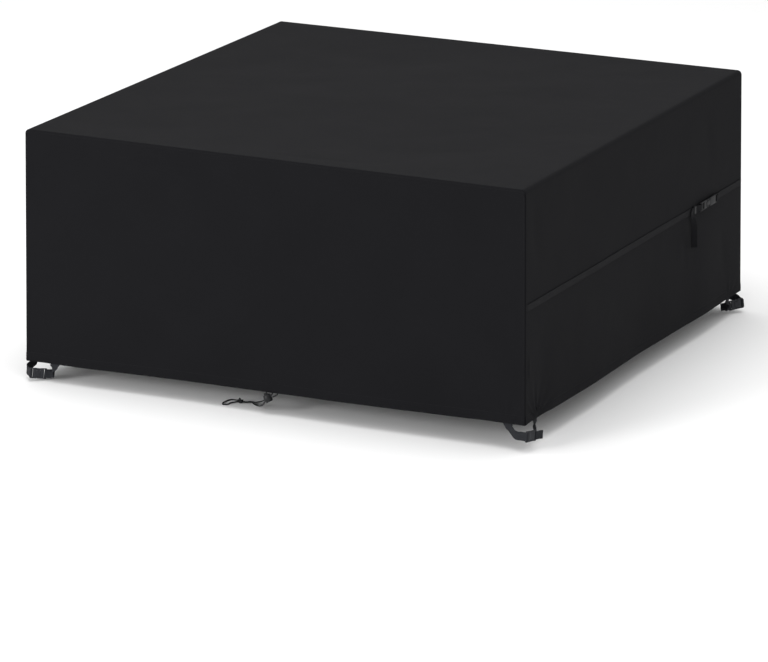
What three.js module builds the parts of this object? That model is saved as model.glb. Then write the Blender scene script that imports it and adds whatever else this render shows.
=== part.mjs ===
// Fitted cover for a square garden table: a coated-cloth box, open below, whose hem hangs just
// above the ground. Webbing loops clip round the furniture's legs, a webbing strap with a buckle
// takes up the slack on one wall, and a locked drawcord comes out of the front hem.
// Millimetres, +Z up. The origin is the middle of the top's underside; +X is the wall with the
// strap and -Y is the wall with the drawcord.
import * as THREE from 'three';
import { mergeVertices } from 'three/addons/utils/BufferGeometryUtils.js';

// ---- Driving sizes ----
const SIDE = 1630;             // each side of the square top, wall to wall
const DROP = 710;              // top surface down to the hem
const CLOTH = 2;               // thickness of the coated cloth
const HEM = 30;                // height of the turned-up hem
const HEM_EXTRA = 1;           // how much thicker the hem is than one cloth
const FOLD_RADIUS = 14;        // the soft fold where the top turns down into a side wall
const GAP = 0.3;               // running gap between touching pieces
const FLARE_X = 9;             // how far each side wall leans out at the hem
const FLARE_Y = 8.5;           // the same for the front and back
const TOP_SAG = 5;             // how far the middle of the top hangs below its edges
const GROUND = -774;           // the surface that the furniture stands on

const WEBBING = 1.6;           // webbing thickness
const LEG_WEB = 25;            // width of the leg straps
const LEG_INSET = 22;          // leg centre, inwards from each hem corner
const LEG_CLEAR = 28;          // from the leg's centre to the inside of its strap
const TUCK = 13;               // how far the webbing's middle is sewn up inside the hem

const CINCH_WEB = 20;          // width of the strap on the right wall
const CINCH_Z = -353;          // height of that strap's middle
const TAIL_DROP = 112;         // how far its loose end hangs below the strap

const CORD = 4;                // drawcord diameter
const CORD_SIDES = 8;

const CLOTH_COLOUR = 0x212123;
const WEB_COLOUR = 0x3a3b3e;
const PLASTIC_COLOUR = 0x26272a;
const CORD_COLOUR = 0x18191b;

const HALF_SIDE = SIDE / 2;
const TOP_Z = CLOTH;           // the top's upper face
const HEM_Z = TOP_Z - DROP;    // the hem's lower edge

const vec = (x, y, z) => new THREE.Vector3(x, y, z);
const bell = (distance, width) => Math.exp(-((distance / width) ** 2));
const lerp = THREE.MathUtils.lerp;
const { degToRad } = THREE.MathUtils;
const evenly = (low, high, count) => Array.from(
  { length: count + 1 }, (_, i) => lerp(low, high, i / count));

const cover = new THREE.Group();

function addPiece(name, geometry, color, roughness = 0.85) {
  const mesh = new THREE.Mesh(geometry, new THREE.MeshStandardMaterial({ color, roughness }));
  mesh.name = name;
  cover.add(mesh);
  return mesh;
}

// ---- How the cloth hangs ----

// Heights of the four corners above those of a true box. side is -1 left, 1 right; end is -1
// front, 1 back.
const CORNERS = [
  { side: -1, end: -1, top: -3, hem: -9 },
  { side: 1, end: -1, top: -6, hem: 13 },
  { side: 1, end: 1, top: 3, hem: -3 },
  { side: -1, end: 1, top: 4, hem: 0 },
];

// Soft upright folds. at runs from -1 to 1 along the wall, left to right or front to back; swell
// is how far the cloth stands out (or falls in) at the hem, and start is how far down it begins.
const FOLDS = [
  { wall: 'front', at: -0.74, width: 0.10, swell: 3.5, start: 0.2 },
  { wall: 'front', at: -0.34, width: 0.20, swell: -4, start: 0.1 },
  { wall: 'front', at: 0.36, width: 0.22, swell: 4, start: 0.1 },
  { wall: 'front', at: 0.84, width: 0.07, swell: -3.5, start: 0.4 },
  { wall: 'right', at: -0.86, width: 0.07, swell: -5, start: 0.5 },
  { wall: 'right', at: -0.45, width: 0.18, swell: 3.5, start: 0.1 },
  { wall: 'right', at: 0.05, width: 0.22, swell: -4, start: 0.2 },
  { wall: 'right', at: 0.62, width: 0.14, swell: 4, start: 0.3 },
  { wall: 'back', at: -0.55, width: 0.20, swell: 4, start: 0.1 },
  { wall: 'back', at: 0.10, width: 0.16, swell: -3.5, start: 0.2 },
  { wall: 'back', at: 0.66, width: 0.15, swell: 3, start: 0.3 },
  { wall: 'left', at: -0.60, width: 0.16, swell: -3.5, start: 0.2 },
  { wall: 'left', at: 0.02, width: 0.22, swell: 4.5, start: 0.1 },
  { wall: 'left', at: 0.64, width: 0.13, swell: -3, start: 0.3 },
];

// Broad shallow rises and hollows of the top, placed by the same -1 to 1 run both ways.
const TOP_SWELLS = [
  { x: -0.45, y: -0.35, width: 0.38, rise: 2.5 },
  { x: 0.35, y: 0.30, width: 0.45, rise: 3 },
  { x: 0.55, y: -0.50, width: 0.28, rise: -1.5 },
  { x: -0.35, y: 0.55, width: 0.32, rise: -2 },
];

function foldSwell(wall, along, down) {
  return FOLDS.filter((fold) => fold.wall === wall).reduce((sum, fold) => {
    const begun = THREE.MathUtils.smoothstep(down, fold.start, 1);
    return sum + fold.swell * begun * bell(along - fold.at, fold.width);
  }, 0);
}

// Where a point of the true box hangs. The one smooth field moves every piece of cloth, so the
// seams between panels stay closed.
function hang(x, y, z) {
  const u = x / HALF_SIDE;
  const v = y / HALF_SIDE;
  const down = THREE.MathUtils.clamp((CLOTH - z) / DROP, 0, 1.1);
  const nearSide = Math.abs(u) ** 8;
  const nearEnd = Math.abs(v) ** 8;
  const sideSwell = foldSwell(u > 0 ? 'right' : 'left', v, down);
  const endSwell = foldSwell(v > 0 ? 'back' : 'front', u, down);
  const cornerRise = CORNERS.reduce((sum, corner) => {
    const share = (1 + corner.side * u) * (1 + corner.end * v) / 4;
    return sum + share * lerp(corner.top, corner.hem, down);
  }, 0);
  const swells = TOP_SWELLS.reduce(
    (sum, swell) => sum + swell.rise * bell(Math.hypot(u - swell.x, v - swell.y), swell.width), 0);
  const inner = (1 - u ** 4) * (1 - v ** 4);
  const topRise = (1 - down) ** 12 * inner * (swells - TOP_SAG);
  return vec(
    x + u * FLARE_X * down + Math.sign(u) * nearSide * sideSwell,
    y + v * FLARE_Y * down + Math.sign(v) * nearEnd * endSwell,
    z + cornerRise + topRise,
  );
}

// ---- Shapes ----

// A closed mesh from corner points and faces, its faces turned outwards.
function closedMesh(points, faces) {
  const volume = faces.reduce((sum, [a, b, c]) => {
    const side = new THREE.Vector3().crossVectors(points[b], points[c]);
    return sum + points[a].dot(side);
  }, 0);
  const outward = volume > 0 ? faces : faces.map(([a, b, c]) => [a, c, b]);
  const geometry = new THREE.BufferGeometry();
  const xyz = points.flatMap((point) => point.toArray());
  geometry.setAttribute('position', new THREE.Float32BufferAttribute(xyz, 3));
  geometry.setIndex(outward.flat());
  return geometry;
}

// A sheet with two faces: rows of points for one face, and the same rows for the other.
function sheet(face, back) {
  const rows = face.length;
  const columns = face[0].length;
  const count = rows * columns;
  const points = [...face.flat(), ...back.flat()];
  const at = (row, column) => row * columns + column;
  const faces = [];
  const quad = (a, b, c, d) => faces.push([a, b, c], [a, c, d]);
  for (let row = 0; row + 1 < rows; row += 1) {
    for (let column = 0; column + 1 < columns; column += 1) {
      const [a, b] = [at(row, column), at(row + 1, column)];
      const [c, d] = [at(row + 1, column + 1), at(row, column + 1)];
      quad(a, b, c, d);
      faces.push([a + count, c + count, b + count], [a + count, d + count, c + count]);
    }
  }
  const edge = (a, b) => quad(b, a, a + count, b + count);
  for (let row = 0; row + 1 < rows; row += 1) {
    edge(at(row, 0), at(row + 1, 0));
    edge(at(row + 1, columns - 1), at(row, columns - 1));
  }
  for (let column = 0; column + 1 < columns; column += 1) {
    edge(at(0, column + 1), at(0, column));
    edge(at(rows - 1, column), at(rows - 1, column + 1));
  }
  return closedMesh(points, faces);
}

// A flat band swept along stations { at, across }: across is the way its width points there.
function ribbon(stations, width, thickness = WEBBING) {
  const rims = stations.map((station, index) => {
    const before = stations[Math.max(index - 1, 0)].at;
    const after = stations[Math.min(index + 1, stations.length - 1)].at;
    const along = after.clone().sub(before).normalize();
    const across = station.across.clone().addScaledVector(along, -station.across.dot(along));
    across.setLength(width / 2);
    const lift = new THREE.Vector3().crossVectors(along, across).setLength(thickness / 2);
    return { across, lift, at: station.at };
  });
  const face = (side) => rims.map(({ at, across, lift }) => [
    at.clone().sub(across).addScaledVector(lift, side),
    at.clone().add(across).addScaledVector(lift, side),
  ]);
  return sheet(face(1), face(-1));
}

// Stations along a smooth line through the given ones, about `step` apart.
function smoothed(stations, step) {
  const line = new THREE.CatmullRomCurve3(stations.map((station) => station.at), false, 'centripetal');
  const spans = stations.length - 1;
  return stations.flatMap((station, index) => {
    if (index === spans) {
      return [station];
    }
    const next = stations[index + 1];
    const pieces = Math.max(1, Math.round(station.at.distanceTo(next.at) / step));
    return Array.from({ length: pieces }, (_, piece) => {
      const part = piece / pieces;
      return {
        at: line.getPoint((index + part) / spans),
        across: station.across.clone().lerp(next.across, part),
      };
    });
  });
}

// A plate of a flat outline, with slots through it, centred on its own thickness.
function plate(outline, slots, thickness, bevel = 0.8) {
  const shape = new THREE.Shape(outline);
  shape.holes = slots.map((slot) => new THREE.Path(slot));
  const geometry = new THREE.ExtrudeGeometry(shape, {
    depth: thickness - 2 * bevel, bevelThickness: bevel, bevelSize: bevel, bevelOffset: -bevel,
    bevelSegments: 1, curveSegments: 4,
  });
  geometry.translate(0, 0, bevel - thickness / 2);
  return tight(geometry);
}

// The same shape with its doubled corner points merged, so that it is one closed surface.
function tight(geometry) {
  geometry.deleteAttribute('normal');
  geometry.deleteAttribute('uv');
  return mergeVertices(geometry, 1e-4);
}

// A block of a flat outline with one hole, run `long` along its own z and centred there.
function plateAlong(outline, hole, long) {
  const shape = new THREE.Shape(outline);
  shape.holes = [new THREE.Path(hole)];
  const geometry = new THREE.ExtrudeGeometry(shape, { depth: long, bevelEnabled: false });
  geometry.translate(0, 0, -long / 2);
  return tight(geometry);
}

const flat = (pairs) => pairs.map(([x, y]) => new THREE.Vector2(x, y));

// A rectangle's corners, from low to high, with its corners cut off by `cut`.
function cutRectangle(lowX, highX, lowY, highY, cut) {
  return flat([
    [lowX + cut, lowY], [highX - cut, lowY], [highX, lowY + cut], [highX, highY - cut],
    [highX - cut, highY], [lowX + cut, highY], [lowX, highY - cut], [lowX, lowY + cut],
  ]);
}

// ---- Main panel: left wall, top and right wall in one length of cloth ----

const WALL_ROWS = [HEM_Z, HEM_Z + HEM - 1, HEM_Z + HEM + 1, ...evenly(HEM_Z + 4 * HEM, -50, 6)];
const FOLD_ANGLES = evenly(0, Math.PI / 2, 3);
const END_FACE = HALF_SIDE - CLOTH - GAP; // the main panel stops behind the end panels
const COLUMNS = evenly(-HALF_SIDE + FOLD_RADIUS, HALF_SIDE - FOLD_RADIUS, 18);
const RUNS = [-END_FACE, ...COLUMNS, END_FACE];

const hemExtra = (z) => (z < HEM_Z + HEM ? HEM_EXTRA : 0);

// The main panel's section at one side, from the hem up and over the fold. Each entry has its
// place and the way its outer face looks.
function sideSection(side) {
  const wall = WALL_ROWS.map((z) => ({
    x: side * (HALF_SIDE + hemExtra(z)), z, nx: side, nz: 0, extra: hemExtra(z),
  }));
  const turn = FOLD_ANGLES.map((angle) => ({
    x: side * (HALF_SIDE - FOLD_RADIUS + FOLD_RADIUS * Math.cos(angle)),
    z: TOP_Z - FOLD_RADIUS + FOLD_RADIUS * Math.sin(angle),
    nx: side * Math.cos(angle), nz: Math.sin(angle), extra: 0,
  }));
  return [...wall, ...turn];
}

function mainPanel() {
  const topRun = evenly(-HALF_SIDE + FOLD_RADIUS, HALF_SIDE - FOLD_RADIUS, 16).slice(1, -1)
    .map((x) => ({ x, z: TOP_Z, nx: 0, nz: 1, extra: 0 }));
  const section = [...sideSection(-1), ...topRun, ...sideSection(1).reverse()];
  const outer = section.map(({ x, z }) => RUNS.map((y) => hang(x, y, z)));
  const inner = section.map(({ x, z, nx, nz, extra }) => RUNS.map(
    (y) => hang(x - nx * (CLOTH + extra), y, z - nz * CLOTH)));
  return sheet(outer, inner);
}

addPiece('main_panel', mainPanel(), CLOTH_COLOUR);

// ---- Front and back panels, sewn to the main panel all round ----

// Columns across an end panel: each has its place and the height at which the fold's round
// corner cuts it off.
function endColumns() {
  const corner = FOLD_ANGLES.map((angle) => ({
    x: HALF_SIDE - FOLD_RADIUS + FOLD_RADIUS * Math.cos(angle),
    top: TOP_Z - FOLD_RADIUS + FOLD_RADIUS * Math.sin(angle),
  }));
  const left = corner.map(({ x, top }) => ({ x: -x, top }));
  const run = COLUMNS.slice(1, -1).map((x) => ({ x, top: TOP_Z }));
  return [...left, ...run, ...corner.reverse()];
}

function endPanel(end) {
  const columns = endColumns();
  const place = (depth) => columns.map(({ x, top }) => [...WALL_ROWS, top].map((z) => {
    const y = end * (HALF_SIDE - depth + (depth ? 0 : hemExtra(z)));
    return hang(x, y, z);
  }));
  return sheet(place(0), place(CLOTH));
}

addPiece('front_panel', endPanel(-1), CLOTH_COLOUR);
addPiece('back_panel', endPanel(1), CLOTH_COLOUR);

// ---- Side-release buckle: a socket half and a pronged half ----

const PRONG_SHARE = 0.72;       // how thick the pronged half is, as a share of the socket half

// Lies along its own x, from the socket's webbing bar at 0 to the prongs' webbing bar at
// `length`; y is across it and z through it.
function buckleHalves({ length, width, web, thickness, mouth, bar, socketSlot, prongSlot, prongSlots }) {
  const half = width / 2;
  const tongue = half * 0.56;
  const slotHalf = web / 2 + 0.7;
  const tongueStart = mouth - 0.2 * length;
  const cutCorner = 0.1 * width;
  const window = (low, slot) => cutRectangle(low, low + slot, -slotHalf, slotHalf, 0.6);
  const socketOutline = flat([
    [cutCorner, -half], [tongueStart - 2, -half], [tongueStart, -half + 2], [tongueStart, -tongue],
    [mouth - 2, -tongue], [mouth, -tongue + 2], [mouth, tongue - 2], [mouth - 2, tongue],
    [tongueStart, tongue], [tongueStart, half - 2], [tongueStart - 2, half], [cutCorner, half],
    [0, half - cutCorner], [0, -half + cutCorner],
  ]);
  const socket = plate(socketOutline, [window(bar, socketSlot)], thickness);
  const arm = tongue + 0.4;
  const pressed = half - 0.6;
  const base = mouth + 0.4;
  const prongsOutline = flat([
    [length - cutCorner, -half], [length, -half + cutCorner], [length, half - cutCorner],
    [length - cutCorner, half], [base + 3, half], [base, pressed - 1], [tongueStart + 3, pressed],
    [tongueStart + 0.4, pressed - 2], [tongueStart + 0.4, arm], [base, arm], [base, -arm],
    [tongueStart + 0.4, -arm], [tongueStart + 0.4, -pressed + 2], [tongueStart + 3, -pressed],
    [base, -pressed + 1], [base + 3, -half],
  ]);
  const windows = Array.from(
    { length: prongSlots }, (_, i) => window(length - (i + 1) * (bar + prongSlot), prongSlot));
  const prongs = plate(prongsOutline, windows, thickness * PRONG_SHARE);
  return { socket, prongs };
}

// Sets a piece made along x at a place, by the way its length and width point.
function stand(mesh, origin, along, up) {
  const out = new THREE.Vector3().crossVectors(along, up);
  mesh.applyMatrix4(new THREE.Matrix4().makeBasis(along, up, out).setPosition(origin));
  return mesh;
}

// Webbing's way through a slot and round its bar: `edge` is the bar's edge, `way` the side of it
// that the slot is on, and `reach` how far off the bar's middle the webbing lies. place(run, off)
// gives a station.
const roundBar = (place, edge, way, reach) => [
  place(edge, -reach),
  place(edge + way * 1.5, 0.5 - reach),
  place(edge + way * 2.1, 2.4 - reach),
  place(edge + way * 2.1, reach - 2.4),
  place(edge + way * 1.5, reach - 0.5),
  place(edge, reach),
];

// ---- Strap on the right wall ----

const CINCH = {
  length: 134, width: 27, web: CINCH_WEB, thickness: 7, mouth: 85, bar: 6, socketSlot: 6,
  prongSlot: 9, prongSlots: 2,
};
const CINCH_SOCKET_Y = 590;     // where the socket's bar lies
const CINCH_SIT = 7;            // the buckle's middle stands this far off the cloth
const KEEPER_Y = 420;           // middle of the keeper that holds the loose end down
const KEEPER_LONG = 14;
const KEEPER_WALL = 1.6;

// A point on the right wall's outer face, `off` out from it.
const onRight = (y, z, off) => hang(HALF_SIDE, y, z).add(vec(off, 0, 0));
const strapStation = (y, off, z = CINCH_Z) => ({ at: onRight(y, z, off), across: vec(0, 0, 1) });
const LAY = 2 * GAP + WEBBING / 2;        // the strap's middle, lying on the cloth
const KEPT = LAY + KEEPER_WALL + GAP;     // the same, inside the keeper
const FOLDED = WEBBING + GAP;             // from one layer of the strap to the next

function cinchFar() {
  const bar = CINCH_SOCKET_Y;
  const reach = CINCH.thickness / 2 + LAY;
  const runs = RUNS.filter((y) => y > bar + 20).reverse().map((y) => strapStation(y, LAY));
  return ribbon([
    ...runs,
    strapStation(bar + 14, LAY),
    strapStation(bar + 3, CINCH_SIT - reach),
    ...roundBar((y, off) => strapStation(y, CINCH_SIT + off), bar - CINCH.bar, -1, reach),
    strapStation(bar + 2, CINCH_SIT + reach),
    strapStation(bar + 14, LAY + FOLDED + 1.3),
    strapStation(bar + 40, LAY + FOLDED),
  ], CINCH_WEB);
}

function cinchNear() {
  const bar = CINCH_SOCKET_Y - CINCH.length;
  const reach = CINCH.thickness * PRONG_SHARE / 2 + LAY;
  const runs = RUNS.filter((y) => y < KEEPER_Y - 20).map((y) => strapStation(y, LAY));
  const turnY = KEEPER_Y - KEEPER_LONG / 2 - 4;
  const keptRun = [turnY, KEEPER_Y, KEEPER_Y + KEEPER_LONG / 2 + 4];
  const folded = KEPT + FOLDED;
  const down = (drop, off, turn) => ({
    at: onRight(turnY - CINCH_WEB / 2 - 3, CINCH_Z - drop, off),
    across: vec(-Math.sin(degToRad(turn)), -Math.cos(degToRad(turn)), 0),
  });
  return ribbon([
    ...runs,
    ...keptRun.map((y) => strapStation(y, KEPT)),
    strapStation(bar - 2, CINCH_SIT - reach),
    ...roundBar((y, off) => strapStation(y, CINCH_SIT + off), bar + CINCH.bar, 1, reach),
    strapStation(bar - 1, CINCH_SIT + reach),
    ...keptRun.toReversed().map((y) => strapStation(y, folded)),
    { at: onRight(turnY - 9, CINCH_Z - 3.5, folded), across: vec(0, -0.38, 0.92) },
    { at: onRight(turnY - 12.6, CINCH_Z - 10, folded + 1), across: vec(0, -0.86, 0.5) },
    down(20, folded + 4, 18),
    down(42, folded + 8, 40),
    down(70, folded + 9, 52),
    down(95, folded + 9, 56),
    down(TAIL_DROP, folded + 9, 58),
  ], CINCH_WEB);
}

// The keeper: a rectangular ring round both layers of the strap.
function cinchKeeper() {
  const tall = CINCH_WEB / 2 + 0.8;
  const deep = 2 * WEBBING + 3 * GAP;
  const outline = cutRectangle(
    -tall - KEEPER_WALL, tall + KEEPER_WALL, -KEEPER_WALL, deep + KEEPER_WALL, KEEPER_WALL / 2);
  const hole = flat([[-tall, 0], [tall, 0], [tall, deep], [-tall, deep]]);
  return plateAlong(outline, hole, KEEPER_LONG);
}

addPiece('cinch_strap_far', cinchFar(), WEB_COLOUR);
addPiece('cinch_strap_near', cinchNear(), WEB_COLOUR);

{
  const { socket, prongs } = buckleHalves(CINCH);
  const origin = onRight(CINCH_SOCKET_Y, CINCH_Z, CINCH_SIT);
  const far = onRight(CINCH_SOCKET_Y - CINCH.length, CINCH_Z, CINCH_SIT);
  const along = far.sub(origin).setZ(0).normalize();
  stand(addPiece('cinch_buckle_socket', socket, PLASTIC_COLOUR, 0.5), origin, along, vec(0, 0, 1));
  stand(addPiece('cinch_buckle_prongs', prongs, PLASTIC_COLOUR, 0.5), origin, along, vec(0, 0, 1));
}

{
  const origin = onRight(KEEPER_Y, CINCH_Z, KEPT - WEBBING / 2 - GAP);
  const ahead = onRight(KEEPER_Y + KEEPER_LONG, CINCH_Z, KEPT - WEBBING / 2 - GAP).sub(origin).normalize();
  const out = new THREE.Vector3().crossVectors(ahead, vec(0, 0, 1)).normalize();
  stand(addPiece('cinch_keeper', cinchKeeper(), PLASTIC_COLOUR, 0.5), origin, vec(0, 0, 1), out);
}

// ---- Straps round the furniture's legs ----

// One row a leg. Distances along the walls are from the hem corner to where the leg strap's two
// lengths cross the hem's edge: `fixed` carries the socket and `loose` the prongs. turn is the way
// round the leg that the webbing runs, 1 anticlockwise from above, and facing is the way, in
// degrees from +X, that the buckle looks. first is where round the leg the fixed length meets it,
// and from is the side of the buckle, 1 outer or -1 inner, from which the loose length comes.
const LEGS = [
  { name: 'front_left', side: -1, end: -1, fixed: 'side', fixedAt: 54, loose: 'end', looseAt: 99,
    turn: 1, first: 190, facing: 310, from: 1 },
  { name: 'front_right', side: 1, end: -1, fixed: 'end', fixedAt: 58, loose: 'side', looseAt: 84,
    turn: 1, first: 250, facing: 350, from: -1 },
  { name: 'back_right', side: 1, end: 1, fixed: 'end', fixedAt: 54, loose: 'side', looseAt: 102,
    turn: -1, first: 78, facing: -42, from: 1 },
  { name: 'back_left', side: -1, end: 1, fixed: 'end', fixedAt: 54, loose: 'side', looseAt: 102,
    turn: 1, first: 102, facing: 222, from: 1 },
];
const LEG_BUCKLE = {
  length: 50, width: 32, web: LEG_WEB, thickness: 7, mouth: 30, bar: 3.6, socketSlot: 4.6,
  prongSlot: 4.6, prongSlots: 1,
};
const LEG_SLOPE = degToRad(7);     // the buckle hangs lower at its prongs' end
const FIRST_DROP = 27;             // from the hem down to the webbing's middle, where it meets the leg
const BUCKLE_DROP = 30;            // the same at the socket's bar
const TAIL = 26;                   // free end past the buckle
const LEAVES_LEG = 82;             // degrees short of the buckle where the webbing leaves the leg
const SEWN_CLEAR = 0.8;            // from the cloth to webbing sewn up inside the hem
const SEWN_DROPS = [-TUCK, -6, 1, 8, 14];  // at a slant down inside the hem and just out of it
const SEWN_SLANT = { fixed: 1.6, loose: 1.4 }; // how much it drops for its run along the hem

// A place on a wall's inner face near a corner: `along` from the corner, `drop` below the hem.
function insideHem(leg, wall, along, drop) {
  const z = HEM_Z - drop;
  const inset = CLOTH + SEWN_CLEAR + WEBBING / 2;
  const reach = (wall === 'side' ? leg.end : leg.side) * (HALF_SIDE - along);
  const next = Math.max(1, COLUMNS.findIndex((column) => column > reach));
  const [low, high] = [COLUMNS[next - 1], COLUMNS[next]].map((run) => (wall === 'side'
    ? hang(leg.side * (HALF_SIDE - inset), run, z)
    : hang(run, leg.end * (HALF_SIDE - inset), z)));
  return low.lerp(high, (reach - COLUMNS[next - 1]) / (COLUMNS[next] - COLUMNS[next - 1]));
}

// The slanted stretch sewn inside the hem. Its width stands upright, square to its own way.
const sewn = (leg, length) => SEWN_DROPS.map((drop) => {
  const along = leg[`${length}At`] - drop / SEWN_SLANT[length];
  return { at: insideHem(leg, leg[length], along, drop), across: vec(0, 0, 1) };
});

for (const leg of LEGS) {
  const hemCorner = hang(leg.side * HALF_SIDE, leg.end * HALF_SIDE, HEM_Z);
  const middle = hemCorner.clone().sub(vec(leg.side * LEG_INSET, leg.end * LEG_INSET, 0));
  const radial = (angle) => vec(Math.cos(degToRad(angle)), Math.sin(degToRad(angle)), 0);
  const ring = (angle, radius, drop) => (
    radial(angle).multiplyScalar(radius).add(middle).add(vec(0, 0, -drop)));
  const out = radial(leg.facing);
  const level = vec(-out.y, out.x, 0).multiplyScalar(leg.turn);
  const along = level.clone().multiplyScalar(Math.cos(LEG_SLOPE)).add(vec(0, 0, -Math.sin(LEG_SLOPE)));
  const up = level.clone().multiplyScalar(Math.sin(LEG_SLOPE)).add(vec(0, 0, Math.cos(LEG_SLOPE)));
  const { length, thickness, bar } = LEG_BUCKLE;
  const sit = LEG_CLEAR + WEBBING + thickness / 2;
  const bucklePoint = (run, off) => out.clone().multiplyScalar(sit + off).add(middle)
    .addScaledVector(level, -length / 2).addScaledVector(along, run).add(vec(0, 0, -BUCKLE_DROP));
  const at = (point, across = up) => ({ at: point, across });

  // The fixed length: out of the hem, round the leg, straight on to the socket's bar, over the
  // bar, back through the slot and a short way along itself.
  const face = LEG_CLEAR + WEBBING / 2;
  const last = leg.facing - leg.turn * LEAVES_LEG;
  const onLeg = (part) => ring(lerp(leg.first, last, part), face, lerp(FIRST_DROP, BUCKLE_DROP, part));
  const upright = vec(0, 0, 1);
  const reach = thickness / 2 + GAP + WEBBING / 2;
  const outside = -GAP - WEBBING / 2 - 0.2;
  const inSlot = bar + LEG_BUCKLE.socketSlot / 2;
  const toBar = (part, beside = 0) => at(
    onLeg(1).lerp(bucklePoint(outside, -reach), part).addScaledVector(level, beside));
  const fixedEnd = [
    ...smoothed([
      ...sewn(leg, 'fixed'),
      ...[0, 0.5, 1].map((part) => at(onLeg(part), upright.clone().lerp(up, part))),
    ], 9),
    toBar(0.5),
    toBar(1),
    at(bucklePoint(outside, reach - 2.6)),
    at(bucklePoint(outside + 0.9, reach - 0.5)),
    at(bucklePoint(bar / 2, reach + 0.1)),
    at(bucklePoint(inSlot - 0.9, reach - 0.5)),
    at(bucklePoint(inSlot, reach - 2.6)),
    at(bucklePoint(inSlot, -reach + 0.6)),
    at(bucklePoint(inSlot - 1.6, -reach - 3)),
    toBar(0.7, FOLDED + 0.6),
    toBar(0.35, FOLDED + 0.2),
  ];
  addPiece(`leg_strap_fixed_${leg.name}`, ribbon(fixedEnd, LEG_WEB), WEB_COLOUR);

  // The loose length: out of the hem, in through the prongs' slot, round their bar and on as a
  // free end.
  const prongReach = thickness * PRONG_SHARE / 2 + GAP + WEBBING / 2;
  const aside = (run, off, lift = 0) => bucklePoint(run, leg.from * off).add(vec(0, 0, lift));
  const looseEnd = [
    ...smoothed([
      ...sewn(leg, 'loose'),
      at(aside(length + 16, prongReach + 7, 4), upright),
      at(aside(length + 5, prongReach + 0.8)),
    ], 9),
    ...roundBar((run, off) => at(aside(run, -off)), length - bar, -1, prongReach),
    at(aside(length + 5, -prongReach - 0.4)),
    at(aside(length + TAIL * 0.6, -prongReach - 1)),
    at(aside(length + TAIL, -prongReach - 3)),
  ];
  addPiece(`leg_strap_loose_${leg.name}`, ribbon(looseEnd, LEG_WEB), WEB_COLOUR);

  const { socket, prongs } = buckleHalves(LEG_BUCKLE);
  const origin = bucklePoint(0, 0);
  stand(addPiece(`leg_buckle_socket_${leg.name}`, socket, PLASTIC_COLOUR, 0.5), origin, along, up);
  stand(addPiece(`leg_buckle_prongs_${leg.name}`, prongs, PLASTIC_COLOUR, 0.5), origin, along, up);
}

// ---- Drawcord, its lock and its knot ----

const LOCK = vec(-4.4, -823.5, -724.3);            // middle of the lock's barrel
const LOCK_AXIS = vec(-0.5, 0, 0.866);             // the way the button looks
const BARREL_RADIUS = 12.5;
const BARREL_HALF = 11.5;                          // half the barrel's height
const BUTTON_RADIUS = 5.5;
const BUTTON_TRAVEL = 4;
const BUTTON_PROUD = 6.5;                          // how far it stands out of the barrel
const BUTTON_CLEAR = 0.4;
const SOCKET_DEPTH = 9;
const LYING = GROUND + CORD / 2;                   // the cord's middle where it lies
const KNOT = vec(-128, -763, -765.4);
const KNOT_ACROSS = 8.4;
const KNOT_LONG = 11;
const KNOT_WAY = vec(-0.97, 0.24, 0);

// The cord as one line, from where it leaves the hem, through the lock and the knot, round its
// end loop, and back through both to the hem. The stretches inside the lock and the knot are
// left out here.
const CORD_RUNS = {
  hem_left: [[11.4, -823.2, -706.9], [10.4, -823.3, -709.6], [7.2, -823.4, -712.5], [4.5, -823.5, -714.1]],
  lock_upper: [
    [-16.1, -823.4, -731.5], [-25, -814.5, -737.3], [-42, -796, -747], [-60, -780, -756],
    [-78, -766, -763], [-92, -756, -766.4], [-102, -754, -768], [-110, -757, -769.6],
    [-117.8, -761.2, -767.8],
  ],
  end_loop: [
    [-137.1, -757.6, -767.8], [-146, -750, -770.5], [-155, -744.5, -771.9], [-165, -745, LYING],
    [-172, -755, LYING], [-174.5, -770, LYING], [-174, -786, LYING], [-168.5, -797.5, LYING],
    [-160, -799, LYING], [-154.5, -790, LYING], [-153.5, -778, LYING], [-151, -769.5, LYING],
    [-145.5, -765.5, -771.5], [-138.1, -764.6, -769.5],
  ],
  lock_lower: [
    [-121.3, -757.3, -769.8], [-113, -749, LYING], [-106, -744, LYING], [-98, -746, LYING],
    [-88, -754.5, LYING], [-72, -771, -768.6], [-50, -793, -762.5], [-29, -812, -751.5],
    [-17.5, -821.5, -740.5], [-12.8, -823.4, -735.2],
  ],
  hem_right: [
    [7.8, -823.5, -719.6], [14, -823.4, -717.2], [21, -823.3, -713.6], [25.4, -823.2, -710],
    [26.6, -823.2, -706.6],
  ],
};

function cordTube(points) {
  const line = new THREE.CatmullRomCurve3(points.map((point) => vec(...point)), false, 'centripetal');
  const section = new THREE.Shape(evenly(0, 2 * Math.PI, CORD_SIDES).slice(0, -1)
    .map((angle) => new THREE.Vector2(Math.cos(angle), Math.sin(angle)).multiplyScalar(CORD / 2)));
  const steps = Math.max(2, Math.round(line.getLength() / (1.8 * CORD)));
  return tight(new THREE.ExtrudeGeometry(section, { steps, extrudePath: line, bevelEnabled: false }));
}

for (const [name, points] of Object.entries(CORD_RUNS)) {
  addPiece(`cord_${name}`, cordTube(points), CORD_COLOUR);
}

// Turns a piece made round +Y so that it looks along the lock's axis.
function onLock(mesh) {
  mesh.quaternion.setFromUnitVectors(vec(0, 1, 0), LOCK_AXIS.clone().normalize());
  mesh.position.copy(LOCK);
}

function lathe(profile, sides) {
  return tight(new THREE.LatheGeometry(flat(profile), sides));
}

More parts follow.
